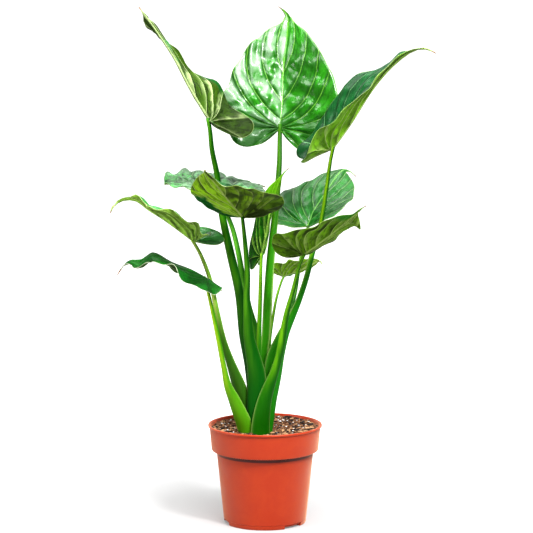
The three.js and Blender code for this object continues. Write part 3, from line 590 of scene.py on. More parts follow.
looks = {
    "mid_right_front": {
        "upper": tint(52, 130, 22), "upperVein": tint(120, 170, 90), "lower": tint(118, 172, 12),
        "lowerVein": tint(166, 194, 104), "quilt": 1.2, "gloss": 0.3, "grooves": 0.6, "ridge": 0.6,
        "shade": [0.04, 0.04, 0.36], "turned": [[1, 0.82, 1.1, 0.2]],
        "ruffle": [[0.5, 5, 0.1], [1.2, 6, 0.5]],
        "stalk": [tint(116, 180, 24), tint(26, 94, 4), tint(18, 96, 2)]},
    "low_left": {
        "upper": tint(22, 112, 24), "upperVein": tint(90, 150, 80), "lower": tint(110, 150, 80),
        "lowerVein": tint(214, 222, 190), "dark": 0.45, "quilt": 0.2, "gloss": 0.4, "coat": 0.25, "edge": 0.9,
        "dryTip": 0.93, "veins": 0.15, "ridge": 0.1, "ruffle": [[3.8, 5, 0.3], [4.2, 5, 0.55]],
        "stalk": [tint(172, 210, 40), tint(66, 140, 8), tint(86, 152, 18)]},
    "mid_left_front": {
        "upper": tint(14, 104, 34), "upperVein": tint(110, 170, 100), "lower": tint(160, 212, 40),
        "lowerVein": tint(192, 212, 124), "quilt": 1.1, "gloss": 0.32, "grooves": 0.65, "ridge": 0.8,
        "shade": [0, 0.66, 0.18], "turned": [[1, -0.3, 0.35, 0.66]], "ruffle": [[0.7, 5, 0], [1.2, 6, 0.4]],
        "stalk": [tint(84, 148, 22), tint(16, 84, 2), tint(2, 88, 6)]},
    "top_right": {
        "upper": tint(2, 92, 34), "upperVein": tint(110, 176, 110), "lower": tint(140, 204, 40),
        "lowerVein": tint(184, 206, 130), "quilt": 1, "gloss": 0.32, "coat": 0.65, "ridge": 0.5,
        "ruffle": [[1.4, 6, 0.2], [2.6, 5, 0.1]], "sheathFade": [0.5, 0.75],
        "stalk": [tint(146, 192, 26), tint(22, 90, 8), tint(30, 128, 14)]},
    "side_left": {
        "upper": tint(56, 146, 56), "upperVein": tint(110, 175, 110), "lower": tint(186, 240, 92),
        "lowerVein": tint(204, 226, 150), "dark": 0.7, "quilt": 1.2, "gloss": 0.34, "pleat": 0.6,
        "grooves": 0.7, "veins": 0.4, "ridge": 0.6, "ruffle": [[1.6, 7, 0.3], [2.6, 8, 0]],
        "sheathFade": [0.5, 0.74],
        "stalk": [tint(196, 220, 110), tint(130, 182, 60), tint(44, 98, 14)]},
    "top_left": {
        "upper": tint(44, 128, 44), "upperVein": tint(110, 180, 90), "lower": tint(62, 96, 10),
        "lowerVein": tint(170, 190, 130), "turnedColour": tint(8, 82, 20), "quilt": 0.7, "gloss": 0.34,
        "coat": 0.7, "grooves": 0.7, "ridge": 0.85, "shade": [0, 0, 0.5], "turned": [[-1, 0.16, 0.44, 0.88]],
        "ruffle": [[1.2, 6, 0], [1.8, 6, 0.5]], "stalk": [tint(84, 152, 24), tint(8, 76, 0), tint(4, 80, 2)]},
    "top_centre": {
        "upper": tint(40, 134, 6), "upperVein": tint(120, 190, 60), "lower": tint(110, 150, 60),
        "lowerVein": tint(140, 200, 60), "quilt": 0.85, "lumps": 1, "gloss": 0.2, "upperGrooveShade": 0.5,
        "veins": 0.8, "coat": 0.9, "paintedReflection": [[-1, 0.4], [-0.1, 0.3], [0.1, 0]], "shade": [0, 0, 0.6],
        "ruffle": [[1.2, 7, 0.2], [3.6, 8, 0.4]], "sheathFade": [0.5, 0.8],
        "stalk": [tint(72, 124, 18), tint(34, 90, 8), tint(54, 138, 16)]},
    "mid_right_back": {
        "upper": tint(22, 124, 20), "upperVein": tint(120, 180, 90), "lower": tint(110, 150, 60),
        "lowerVein": tint(165, 195, 115), "quilt": 0.9, "gloss": 0.34, "coat": 0.65,
        "ruffle": [[0.4, 5, 0.1], [1.2, 6, 0.4]],
        "stalk": [tint(122, 184, 60), tint(40, 110, 20), tint(40, 116, 16)]},
    "mid_left_back": {
        "upper": tint(82, 172, 84), "upperVein": tint(180, 214, 160), "lower": tint(110, 150, 60),
        "lowerVein": tint(165, 195, 115), "dark": 0.3, "quilt": 1.9, "gloss": 0.3, "upperGrooveShade": 0.95,
        "coat": 0.55, "paintedReflection": [[-1, 0.22], [1, 0.18]], "ruffle": [[1.5, 7, 0.1], [3.2, 8, 0.3]],
        "stalk": [tint(100, 172, 50), tint(40, 108, 16), tint(26, 100, 10)]},
    "low_right": {
        "upper": tint(90, 165, 96), "upperVein": tint(140, 190, 120), "lower": tint(156, 214, 44),
        "lowerVein": tint(184, 206, 130), "dark": 0.55, "quilt": 0.9, "gloss": 0.4,
        "turned": [[-1, -0.3, 0.3, 0.35]], "ruffle": [[1.2, 6, 0.1], [1.2, 6, 0.4]],
        "stalk": [tint(150, 204, 60), tint(74, 146, 26), tint(60, 136, 20)]},
    "young": {
        "upper": tint(120, 196, 10), "upperVein": tint(170, 215, 70), "lower": tint(36, 116, 4),
        "lowerVein": tint(176, 216, 96), "dark": 0.6, "tip": tint(104, 170, 6), "quilt": 0.5, "gloss": 0.32,
        "grooves": 0.85, "veins": 0.45, "pleat": 0.6, "ridge": 0.5, "ruffle": [[0.4, 5, 0.1], [0.4, 5, 0.4]],
        "stalk": [tint(140, 196, 44), tint(50, 124, 14), tint(40, 120, 12)]},
}


def flatHalf(row, column):
    # Flat half blade by row (0 at the notch behind the joint, 1 at the tip) and column (0 at the midrib, 1 at
    # the margin): a bent line from its start on the midrib to its end on the outline, as the side veins run
    edge = smoothCurve(heart["halfOutline"])[0](row)
    rib = joined(0, np.interp(row, *np.array(heart["ribStarts"]).T))
    chord = edge - rib
    bend = np.interp(row, *np.array(heart["veinBend"]).T)
    middle = (edge + rib) / 2 + joined(chord[..., 1], -chord[..., 0]) * bend[..., None]
    s = column[..., None]
    return (1 - s) ** 2 * rib + 2 * s * (1 - s) * middle + s ** 2 * edge


def ribFrame(leaf, y):
    # Point, heading, upper side and right of the midrib where the flat blade is y long
    pointAt, headingAt, _ = smoothCurve(leaf["rib"])
    share = np.maximum(y, 0) / heart["tipReach"]
    heading = headingAt(share)
    stations = [0, heart["tipReach"] / 2, heart["tipReach"]]
    face = joined(*(np.interp(y, stations, ways) for ways in zip(*leaf["face"])))
    face = unit(face - heading * np.sum(face * heading, -1, keepdims=True))
    return pointAt(share), heading, face, np.cross(heading, face)


def bladeLength(leaf):
    # Length of the midrib from joint to apex
    return smoothCurve(leaf["rib"])[2] / heart["tipReach"]


def marginReach(y):
    # Half width of the flat blade in front of its widest lobe
    outline = np.array(heart["halfOutline"])[heart["lobePoints"]:]
    return np.interp(y, outline[:, 1], outline[:, 0])


def bendBlade(leaf, side, x, y):
    # Bends flat points into space: folded up at the midrib, curled across, waved and puckered towards the
    # margin, and dipped behind the joint. A pucker is a bell round a place along the blade, of a spread,
    # with a lift and a shift outwards.
    half = leaf["right"] if side > 0 else leaf["left"]
    size = bladeLength(leaf)
    point, heading, face, right = ribFrame(leaf, y)
    back = np.minimum(y, 0) * size * half.get("lobe", 1)
    across = x * half["width"]
    height, count, phase = half["wave"]
    wave = height * (across / 0.5) ** 2 * np.sin(2 * np.pi * (count * y + phase))
    for place, spread, raised, shift in half.get("puckers", []):
        share = np.clip(x / np.maximum(marginReach(y), 0.01), 0, 1) ** 2
        share = share * np.exp(-((y - place) / spread) ** 2)
        wave = wave + raised * share
        across = across + shift * share
    fold = np.interp(y, heart["foldStations"], half["fold"])
    curl = half.get("curl", 0.001)
    turn = fold + curl * across
    outward = (np.sin(turn) - np.sin(fold)) / curl - wave * np.sin(turn)
    upward = (np.cos(fold) - np.cos(turn)) / curl + wave * np.cos(turn)
    lift = back * np.sin(half["dip"]) + upward * size
    return (point + heading * (back * np.cos(half["dip"]))[..., None] + face * lift[..., None]
            + right * (side * outward * size)[..., None])


def bladeRows():
    # Rows crowd together at each side vein, so that the crease there is sharp: half of 1 less the cosine
    stops = [0, *heart["veinRows"], 1]
    share = (1 - np.cos(np.pi * np.arange(heart["rowsPerPanel"]) / heart["rowsPerPanel"])) / 2
    rows = [low + (high - low) * share for low, high in zip(stops[:-1], stops[1:])]
    return np.concatenate([*rows, [1.0]])


def quiltHeight(row, column, flat, seed, lumpShare):
    # Height of the panels between side veins: a dome across each panel, a power of the sine of its share, and
    # lumps on it, flat at the midrib and the margin. The lumps are a sum of plane waves of random heading and
    # length. Gives the height, the dome, and the share of the way across the panel.
    stops = np.array([0, *heart["veinRows"], 1])
    panel = np.clip(np.searchsorted(stops, row, side="right") - 1, 0, len(stops) - 2)
    share = (row - stops[panel]) / (stops[panel + 1] - stops[panel])
    dome = np.maximum(np.sin(np.pi * share), 0) ** heart["domePower"]
    random = np.random.default_rng(seed)
    waves = heart["lumpWaves"]
    heading = random.uniform(0, 2 * np.pi, waves)
    pace = 2 * np.pi / random.uniform(*heart["lumpLength"], waves)
    shift = random.uniform(0, 2 * np.pi, waves)
    course = flat[..., :1] * np.cos(heading) + flat[..., 1:] * np.sin(heading)
    lumps = lumpShare * np.sin(course * pace + shift).sum(-1) / np.sqrt(waves)
    inner, outer = heart["envelopePowers"]
    envelope = np.sin(np.pi * np.clip(column, 0, 1) ** inner) ** outer
    low = heart["lumpsAtVein"]
    return envelope * (dome + lumps * (low + (1 - low) * dome)), dome, share


def ruffleHeight(row, column, wave):
    # Waves of the margin as a height and as a shift outwards: a sine and a smaller, faster one, times powers
    # of the column and of the sine of the row, so that they fade inwards and at both ends
    form = ruffleForm
    height, count, phase = wave
    course = 2 * np.pi * (count * row + phase)
    fading = np.abs(column) ** form["columnPower"] * np.sin(np.pi * np.clip(row, 0, 1)) ** form["rowPower"]
    second = form["secondShare"] * np.sin(form["secondPace"] * course + form["secondPhase"])
    return (height * fading * (np.sin(course) + second),
            form["swing"] * height * fading * np.sin(course + form["swingPhase"]))


def halfRelief(row, column, flat, size):
    # Distances in millimetres to the nearest side vein, the midrib and the margin, on the flat half: the gap
    # in row or column times the flat form's growth by it, taken over a small step to both sides
    step = 0.004
    before, after = np.maximum(row - step, 0), np.minimum(row + step, 1)
    alongRow = (flatHalf(after, column) - flatHalf(before, column)) / (after - before)[..., None]
    before, after = np.maximum(column - step, 0), np.minimum(column + step, 1)
    alongColumn = (flatHalf(row, after) - flatHalf(row, before)) / (after - before)[..., None]
    area = np.abs(alongRow[..., 0] * alongColumn[..., 1] - alongRow[..., 1] * alongColumn[..., 0])
    acrossVein = area / np.maximum(np.linalg.norm(alongColumn, axis=-1), 1e-6)
    acrossMargin = area / np.maximum(np.linalg.norm(alongRow, axis=-1), 1e-6)
    gaps = np.abs(row[..., None] - np.array(heart["veinRows"]))
    vein = gaps.min(-1) * acrossVein * size
    rib = np.hypot(flat[..., 0], np.minimum(flat[..., 1], 0)) * size
    margin = np.minimum((1 - column) * acrossMargin, row * acrossVein) * size
    return vein, rib, margin


def turnedShare(look, y, column):
    # 1 where the lower side is painted with the upper colour, as if the margin were turned over there
    turned = np.zeros(y.shape)
    soft, narrow = heart["turnedSoftness"]
    for side, low, high, inner in look["turned"]:
        along = smoothStep(y, low - soft, low + soft) * (1 - smoothStep(y, high - soft, high + soft))
        turned = np.maximum(turned, along * smoothStep(column * side, inner - narrow, inner + narrow))
    return turned


def addBlade(name, leaf, look, material):
    # The two bent halves as one sheet: quilted between the veins, ruffled, ribbed below, grooved above and
    # thin at the margin. Midrib and veins are bells of their distance, exp of minus its square.
    form = heart
    size = bladeLength(leaf)
    rows = bladeRows()
    middle = form["columns"]
    share = (np.arange(middle + 1) / middle) ** form["columnSpread"]
    columns = np.concatenate([-share[:0:-1], share])
    row, column = np.meshgrid(rows, columns, indexing="ij")
    outwards, rightSide = np.abs(column), column >= 0
    flat = flatHalf(row, outwards)
    x, y = flat[..., 0], flat[..., 1]
    points = np.where(rightSide[..., None], bendBlade(leaf, 1, x, y), bendBlade(leaf, -1, x, y))
    index = np.arange(row.size).reshape(row.shape)
    index[rows <= form["ribStarts"][1][0] + 1e-9, middle] = middle
    index[-1] = index[-1, middle]
    vein, rib, margin = halfRelief(row, outwards, flat, size)
    seed = sum(ord(letter) for letter in name)
    rightQuilt, dome, pleat = quiltHeight(row, outwards, flat, seed, look["lumps"])
    leftQuilt, _, _ = quiltHeight(row, outwards, flat, seed + 1, look["lumps"])
    breadth = np.clip(marginReach(y) / form["fullBreadth"], 0, 1)
    quilt = np.where(rightSide, rightQuilt, leftQuilt) * form["quilt"] * look["quilt"] * breadth
    quilt = quilt * size / form["quiltLength"]
    ruffles = [ruffleHeight(row, column, wave) for wave in look["ruffle"]]
    wave, swing = (np.where(rightSide, right, left) for right, left in zip(*ruffles))
    outward = unit(np.gradient(points, axis=1)) * np.sign(column)[..., None]
    points = points + outward * swing[..., None]
    thinned = form["thickness"] - form["edgeThickness"]
    thick = form["edgeThickness"] + thinned * smoothStep(margin, 0, form["edgeBand"])
    taper = 1 - form["tipTaper"] * np.clip(y / form["tipReach"], 0, 1)
    midrib = form["ribHeight"] * taper * np.exp(-(rib / form["ribWidth"]) ** 2)
    fading = (1 - outwards) ** form["veinPower"] * smoothStep(margin, 0, form["veinBand"])
    sideVein = form["veinHeight"] * fading * np.exp(-(vein / form["veinWidth"]) ** 2)
    ridge = np.maximum(midrib, sideVein) * size / form["ribLength"]
    groove = form["grooveDepth"] * np.exp(-(rib / form["grooveWidth"]) ** 2) * taper
    points = points.reshape(-1, 3)
    normals = pointNormals(points, gridQuads(index))[index.ravel()]
    points = points + (quilt - groove + wave).ravel()[:, None] * normals
    upper = points + normals * (thick / 2).ravel()[:, None]
    lower = points - normals * (thick / 2 + ridge).ravel()[:, None]
    rightShade, leftShade, lobeShade = look["shade"]
    shade = np.interp(column, form["shadeColumns"], [leftShade, rightShade])
    shade = np.clip(shade + lobeShade * (1 - smoothStep(y, *form["lobeFade"])), 0, 1)
    values = {
        "veinDistance": vein,
        "ribDistance": rib,
        "marginDistance": margin,
        "bladeShare": y / form["tipReach"],
        "dome": dome,
        "pleat": pleat,
        "shade": shade,
        "paintedReflection": np.interp(column, *np.array(look["paintedReflection"] or [[-1, 0], [1, 0]]).T),
        "turned": turnedShare(look, y, column),
        "grooveRow": row * form["grooves"][0] + seed % 97,
        "grooveColumn": column * form["grooves"][1],
    }
    values = {key: np.tile(value.ravel(), 2) for key, value in values.items()}
    values["upperSide"] = np.repeat([1.0, 0.0], row.size)
    both = np.concatenate([upper, lower])
    piece = addMesh(f"leaf_{name}", both, sheetQuads(index, row.size), values, material)
    return fitPiece(piece, "young_blade" if name == "young" else "blade", f"blade_{name}")


# What the finish of all blades shares. Names with Left give the share of a darkened colour that is left;
# shadeSpots, roughness and coatInShade are a factor and what is added to it; bump is strength and distance.
bladeForm = {
    "mottleFade": [0.35, 0.65],
    "creaseShadeShare": 0.75,
    "veinShare": 0.8,
    "creaseShadeLeft": 0.6,
    "lowerMottleLeft": 0.6,
    "pleatShadeLeft": 0.16,
    "tipFade": [0.62, 0.36],
    "tipShare": 0.8,
    "shadeSpots": [-0.9, 1.5],
    "lowerShadeLeft": 0.1,
    "upperShadeLeft": 0.3,
    "drySoftness": 0.03,
    "roughness": [0.12, 0.5],
    "specular": 0.14,
    "coatInShade": [-0.9, 1.0],
    "grooveDepth": -0.5,
    "bump": [0.6, 0.0016],
}


def deepen(colour, share):
    return (*[channel * share for channel in colour[:3]], 1.0)


def addBladeMaterial(name, look, tissue):
    # Each side is mottled, then takes its veins and painted shade: the upper side in its creases and grooves,
    # the lower side in its pleats and grooves, with a painted highlight on its ridges and the colour painted
    # for the turned margin; the upper side also takes a painted pale reflection. Both take tip, painted shade
    # of halves and lobes, pale edge and dried tip, and only the upper side has the clear coat.
    form = bladeForm
    material, add, surface = startMaterial(f"{name}_tissue")
    above = placeGroup(add, tissue, tissueForm["widths"])
    upperSide = attribute(add, "upperSide")
    bladeShare = attribute(add, "bladeShare")
    mottle = fade(add, above["Mottle"], *form["mottleFade"])
    veins = form["veinShare"] * look["veins"]
    # Painted shade colour for the upper side's creases and grooves
    creaseShade = deepen(look["upper"], look["dark"] * form["creaseShadeLeft"])
    # Painted shade colour for the lower side's pleats and grooves
    pleat = deepen(look["lower"], form["pleatShadeLeft"])

    def paintSide(colour, left, coats):
        return paint(add, above, blend(add, mottle, colour, deepen(colour, left)), coats)

    # Painted shade: the upper side darkens in its creases and in its grooves to the crease shade colour
    upper = paintSide(look["upper"], look["dark"], [
        ["Crease", form["creaseShadeShare"], creaseShade], ["Vein", veins, look["upperVein"]],
        ["Groove", look["upperGrooveShade"], creaseShade]])
    # Painted reflection: a pale haze by column on the upper side, kept off the creases and blotches
    if look["paintedReflection"]:
        paintedReflection = times(add, attribute(add, "paintedReflection"), fade(add, above["Crease"], 0.0, 1.0))
        upper = blend(add, times(add, paintedReflection, rest(add, above["Blotch"])), upper, heart["paintedReflectionColour"])
    # Painted shade in the pleats and grooves of the lower side, and a painted highlight on the ridges beside
    # its veins
    lower = paintSide(look["lower"], form["lowerMottleLeft"], [
        ["PleatShade", look["pleat"], pleat], ["RidgeHighlight", look["ridge"], look["lowerVein"]],
        ["Groove", look["grooves"], pleat], ["Vein", veins, look["lowerVein"]]])
    if look["turned"]:
        lower = blend(add, attribute(add, "turned"), lower, look.get("turnedColour", look["upper"]))
    colour = blend(add, upperSide, lower, upper)
    if look["tip"]:
        tip = times(add, fade(add, bladeShare, *form["tipFade"]), form["tipShare"])
        colour = blend(add, tip, colour, look["tip"])
    spots = calc(add, "MULTIPLY_ADD", above["Blotch"], *form["shadeSpots"])
    shade = times(add, attribute(add, "shade"), spots)
    deep = blend(add, upperSide, deepen(look["lower"], form["lowerShadeLeft"]),
                 deepen(look["upper"], form["upperShadeLeft"]))
    colour = blend(add, shade, colour, deep)
    colour = paint(add, above, colour, [["Edge", look["edge"], look["lowerVein"]]])
    dry = rest(add, fade(add, bladeShare, look["dryTip"] - form["drySoftness"], look["dryTip"]))
    coat = times(add, upperSide, look["coat"])
    relief = calc(add, "MULTIPLY_ADD", above["Groove"], form["grooveDepth"], above["Height"])
    feed(surface, {
        "Base Color": blend(add, dry, colour, heart["dryColour"]),
        "Roughness": calc(add, "MULTIPLY_ADD", above["Mottle"], *form["roughness"]),
        "Specular IOR Level": form["specular"],
        "Coat Weight": times(add, coat, calc(add, "MULTIPLY_ADD", shade, *form["coatInShade"])),
        "Coat Roughness": look["gloss"],
        "Normal": bump(add, relief, *form["bump"]),
    })
    return material


# Stalks: a round rod at the top, lower down a crescent that clasps the crown
stalkForm = {
    "sides": 28,
    "rings": 72,
    "sheathMiddle": 0.55,
    "sheathNarrowing": 0.8,
    "sheathThickness": 3.2,
    "sheathWrap": [1.2, 1.1, 0.2],
    "flare": 1.1,
    "overrun": -0.4,
    "shiftFade": 0.12,
    "light": tint(122, 182, 36),
    "deep": tint(38, 112, 8),
    "pale": tint(178, 208, 120),
    "wear": [9.0, 40.0, 700.0],
    "streakSqueeze": 0.06,
    "streaks": {"Scale": 130.0, "Detail": 3.0},
    "streakSway": [1.6, -0.8],
    "litSideFade": [-0.5, 0.6],
    "patchFade": [0.4, 0.62],
    "patchShare": 0.4,
    "sheathShare": 0.95,
    "edgePower": 12.0,
    "edgeShare": 0.75,
    "roughness": 0.42,
    "specular": 0.12,
    "bump": [0.25, 0.0008],
}

# How some sheaths differ from the solids at shares of the stalk's length: broader by a factor, shifted to the
# right and towards the front in millimetres, flatter by a factor, and the way the sheath faces. plainSheath
# stands for what a leaf doesn't give.
plainSheath = {"share": [0, 1], "broader": 1, "right": 0, "front": 0, "flatter": 1}
sheathForms = {
    "mid_right_front": {
        "share": [0, 0.08, 0.19, 0.31, 0.4, 0.55], "broader": [1.3, 1.25, 1.12, 0.85, 0.62, 0.8],
        "right": [-6, -6, -3, 2, 5, 2], "front": [8, 8, 8, 5, 3, 0], "flatter": [0.5, 0.5, 0.55, 0.7, 1, 1]},
    "mid_left_front": {
        "share": [0, 0.07, 0.16, 0.26, 0.34, 0.46], "broader": [1.05, 1.1, 1.25, 1.45, 1.3, 1],
        "right": [-4, -4, -3, 2, -1, -2.7], "front": [0, 0, 0, 1, 1, 0],
        "flatter": [0.9, 0.9, 0.8, 0.7, 0.8, 1]},
    "top_right": {
        "share": [0, 0.05, 0.13, 0.22, 0.25, 0.31, 0.36, 0.44],
        "broader": [1, 1.1, 1.4, 2.2, 2.5, 2.3, 1.7, 1], "right": [-4, -3, -4, -11, -15, -12, -7, 0],
        "flatter": [1, 1, 1, 0.7, 0.7, 0.7, 0.8, 1], "out": [0.5, -0.87, 0]},
    "mid_left_back": {
        "share": [0.25, 0.35, 0.41, 0.5], "broader": [1, 1.4, 1.5, 1.2], "right": [0, -3, -4, -3]},
    "low_left": {
        "share": [0, 0.09, 0.2, 0.32], "broader": [1.5, 1.5, 1.35, 1.1], "right": [-3, -3, -6, -3],
        "front": [3, 3, 3, 0], "flatter": [0.8, 0.8, 0.9, 1]},
    "side_left": {
        "share": [0.05, 0.15, 0.25, 0.37, 0.5], "broader": [1, 1.45, 1.7, 1.2, 1], "right": [0, 0, 3, 1, 0],
        "flatter": [1, 0.9, 0.8, 0.8, 1], "out": [-0.4, -0.92, 0]},
}


def addStalk(name, leaf, material):
    # The section turns by wrap times the cosine of its angle round a centre as far off as width over wrap,
    # and stands off that arc by the thickness times the sine; width, thickness and wrap change with height
    form = stalkForm
    stalk = leaf["stalk"]
    own = {**plainSheath, "out": stalk["out"], **sheathForms.get(name, {})}
    seat, _, face, _ = ribFrame(leaf, np.array([heart["stalkSeat"]]))
    end = (seat + face * form["overrun"])[0]
    pointAt, headingAt, _ = smoothCurve([*leaf["path"], end.tolist()])
    share = np.linspace(0, 1, form["rings"])

    def ownLine(key):
        return np.interp(share, own["share"], np.broadcast_to(own[key], len(own["share"])))

    top, broad = stalk["sheath"]
    low, high = stalk["radii"]
    stations = [0, top * form["sheathMiddle"], top, 1]
    width = np.interp(share, stations, [broad, broad * form["sheathNarrowing"], low * form["flare"], high])
    thick = np.interp(share, stations, [form["sheathThickness"], form["sheathThickness"], low, high])
    wrap = np.interp(share, stations, [*form["sheathWrap"], 0])
    wrap = np.maximum(wrap * ownLine("flatter"), 0.001)
    width, thick, wrap = (soften(line) for line in (width * ownLine("broader"), thick, wrap))
    centre = pointAt(share)
    last = own["share"][-1]
    fading = 1 - smoothStep(share, last, last + form["shiftFade"])
    centre[:, 0] += soften(fading * ownLine("right"))
    centre[:, 1] -= soften(fading * ownLine("front"))
    angle = evenAngles(form["sides"])
    turn = wrap[:, None] * np.cos(angle)
    radius = (width / wrap)[:, None]
    raised = thick[:, None] * np.sin(angle)
    aside = (radius + raised) * np.sin(turn)
    outward = radius * (np.cos(turn) - 1) + raised * np.cos(turn)
    heading = headingAt(share)
    out = np.array(own["out"], float)
    out = unit(out - heading * (heading @ out)[:, None])
    across = np.cross(out, heading)
    rings = centre[:, None] + across[:, None] * aside[..., None] + out[:, None] * outward[..., None]
    foot, tip = (np.repeat(centre[row][None, None], form["sides"], 1) for row in (0, -1))
    rings = np.concatenate([foot, rings, tip])
    offset = (rings - rings.mean(axis=1, keepdims=True))[..., 0]
    reach = np.abs(offset).max(axis=1, keepdims=True)
    values = {
        "along": np.repeat(np.concatenate([[0], share, [1]])[:, None], form["sides"], 1),
        "side": offset / np.maximum(reach, 0.01),
        "edge": np.repeat(np.abs(np.cos(angle))[None], rings.shape[0], 0),
    }
    return fitPiece(addTurned(f"stalk_{name}", rings, values, material), "petiole", f"petiole_{name}")


def addStalkMaterial(name, light, deep, base, sheathFade, wear):
    # Light on one side and deep on the other as painted highlight and painted shade, deepest in the sheath;
    # streaks run up the stalk, from noise squeezed along the height
    form = stalkForm
    material, add, surface = startMaterial(name)
    marks = addWear(add, wear, form["wear"])
    squeezed = {"Vector": objectPlace(add), "Scale": (1.0, 1.0, form["streakSqueeze"])}
    streak = noise(add, add("ShaderNodeMapping", squeezed).outputs[0], form["streaks"])
    # Painted highlight and shade: the colour goes from deep to light across the section, from one side to the
    # other
    side = calc(add, "ADD", attribute(add, "side"), calc(add, "MULTIPLY_ADD", streak, *form["streakSway"]))
    colour = blend(add, fade(add, side, *form["litSideFade"]), deep, light)
    patch = times(add, fade(add, marks["Patch"], *form["patchFade"]), form["patchShare"])
    colour = blend(add, patch, colour, deep)
    sheath = fade(add, attribute(add, "along"), *sheathFade)
    colour = blend(add, times(add, sheath, form["sheathShare"]), colour, base)
    rim = times(add, calc(add, "POWER", attribute(add, "edge"), form["edgePower"]), form["edgeShare"])
    feed(surface, {
        "Base Color": blend(add, times(add, sheath, rim), colour, form["pale"]),
        "Roughness": form["roughness"],
        "Specular IOR Level": form["specular"],
        "Normal": bump(add, streak, *form["bump"]),
    })
    return material


# Pot: radii and levels of the outside and the inside, angles in degrees, and coats of wear as mark, strength
# and colour; the dark line under the collar is a painted shadow
potForm = {
    "outside": [[0, 0], [50, 0], [68.2, 0], [68.8, 0.8], [68.8, 6.2], [68.8, 7], [69.5, 7.5], [81.4, 121.6],
                [81.6, 123], [88, 123], [89, 123.3], [89.5, 124.2], [89.7, 125.4], [92.9, 161.9],
                [93.5, 162.5], [94.8, 162.6], [95.5, 163.4], [95.5, 165], [95.1, 165.7], [94.5, 166]],
    "inside": [[92.8, 166], [91.8, 165.6], [91.2, 164.6], [87.7, 126], [86.8, 125], [79.6, 125], [67, 4.1],
               [65.4, 2.5], [0, 2.5]],
    "notches": [-46, 74, 194],
    "notchWidth": 31,
    "notchRoof": 6,
    "roofSlope": 0.2,
    "channelRadius": 50,
    "sides": 180,
    "sharpFrom": 38,
    "colour": tint(184, 52, 0),
    "coats": [["Patch", 0.5, tint(170, 44, 0)], ["Scuff", 0.2, tint(200, 76, 24)]],
    "shadow": tint(70, 14, 4),
    "edge": tint(255, 200, 160),
    "wear": [7.0, 38.0, 1100.0],
    "shadowLineLevel": 0.1195,
    "shadowLineFade": [0.0022, 0.0038],
    "paintedShadowStrength": 0.95,
    "sheen": 0.85,
    "sheenRoughness": 0.42,
    "roughness": 0.38,
    "scuffRoughness": 0.14,
    "bump": [0.12, 0.0004],
}


def addPot(wear):
    # A profile turned round the axis. Inside a drain notch the foot's points rise to the notch's roof, and a
    # doubled column at each of its sides makes the upright cheek.
    form = potForm
    half = form["notchWidth"] / 2
    middles = np.array(form["notches"])
    profile = np.array(form["outside"] + form["inside"], float)
    notched = profile.copy()
    footRadius = form["outside"][3][0]
    notched[1:5] = [[form["channelRadius"], 0], [form["channelRadius"], form["notchRoof"]],
                    [footRadius, form["notchRoof"]], [footRadius, form["notchRoof"] + form["roofSlope"]]]
    edges = np.concatenate([middles - half, middles + half]) % 360
    even = np.arange(form["sides"]) * 360 / form["sides"]
    angles = np.sort(np.concatenate([even, edges - 0.01, edges + 0.01]) % 360)
    away = np.abs((angles[:, None] - middles % 360 + 180) % 360 - 180).min(axis=1)
    rings = np.where((away < half)[None, :, None], notched[:, None], profile[:, None])
    turn, radius, level = np.radians(angles), rings[..., 0], rings[..., 1]
    points = joined(radius * np.cos(turn), radius * np.sin(turn), level)
    piece = addTurned("plastic_pot", points, {}, addPotMaterial(wear))
    piece.data.set_sharp_from_angle(angle=radians(form["sharpFrom"]))
    return fitPiece(piece, "pot", "pot")


def addPotMaterial(wear):
    form = potForm
    material, add, surface = startMaterial("pot_plastic")
    marks = addWear(add, wear, form["wear"])
    colour = paint(add, marks, form["colour"], form["coats"])
    # Painted shadow: a thin band under the collar darkens to the shadow colour, by height
    level = add("ShaderNodeSeparateXYZ", {0: objectPlace(add)}).outputs["Z"]
    away = calc(add, "ABSOLUTE", calc(add, "SUBTRACT", level, form["shadowLineLevel"]))
    under = times(add, fade(add, away, *form["shadowLineFade"]), form["paintedShadowStrength"])
    feed(surface, {
        "Base Color": blend(add, under, colour, form["shadow"]),
        "Roughness": calc(add, "ADD", form["roughness"], times(add, marks["Scuff"], form["scuffRoughness"])),
        "Sheen Weight": form["sheen"],
        "Sheen Roughness": form["sheenRoughness"],
        "Sheen Tint": form["edge"],
        "Normal": bump(add, marks["Grain"], *form["bump"]),
    })
    return material


# Soil: a bumpy bed, bark and peat pieces on it, and white perlite. The level is above the floor, and wall
# lists radii and levels from the bottom up to the bed's edge. A tone gives from where to where it comes in.
soilForm = {
    "level": 153,
    "rise": 7,
    "tilt": 3,
    "tiltAngle": 80,
    "reach": 90,
    "waves": 0.9,
    "fine": 0.7,
    "edgeRadius": 89.4,
    "wall": [[0, 3.2], [65, 3.2], [66.7, 4.8], [78.9, 125.8], [87.2, 127]],
    "rings": 60,
    "ringPower": 0.8,
    "sides": 160,
    "colour": tint(38, 26, 20),
    "tones": [[0.3, 0.42, tint(122, 80, 52)], [0.62, 0.82, tint(204, 158, 116)]],
    "wear": [60.0, 220.0, 900.0],
    "scuffs": ["Scuff", 0.35, tint(38, 26, 20)],
    "roughness": 0.85,
    "bump": [0.6, 0.0006],
}
perliteForm = {
    "colour": tint(236, 238, 240),
    "tones": [],
    "wear": [80.0, 300.0, 1200.0],
    "scuffs": ["Scuff", 0.4, tint(170, 178, 186)],
    "roughness": 0.8,
    "bump": [0.5, 0.0005],
}

# Grains: how many of each kind, their lengths in millimetres, their height as a share of the length, the seed
# and how close to the middle they lie as a share of the bed's area; then what all of them share
grains = {
    "bark_pieces": {"count": 1500, "length": [2.0, 6.0], "flatness": 0.32, "seed": 7, "inner": 0.05},
    "perlite": {"count": 150, "length": [1.4, 3.0], "flatness": 0.6, "seed": 8, "inner": 0.05},
}
grainForm = {
    "sides": 7,
    "levels": [-0.65, 0.0, 0.65],
    "jitter": [0.72, 1.2],
    "shorter": [0.6, 1],
    "breadth": [0.45, 0.9],
    "tilt": 0.4,
    "wallGap": 2.5,
    "lift": [-0.1, 0.9],
}


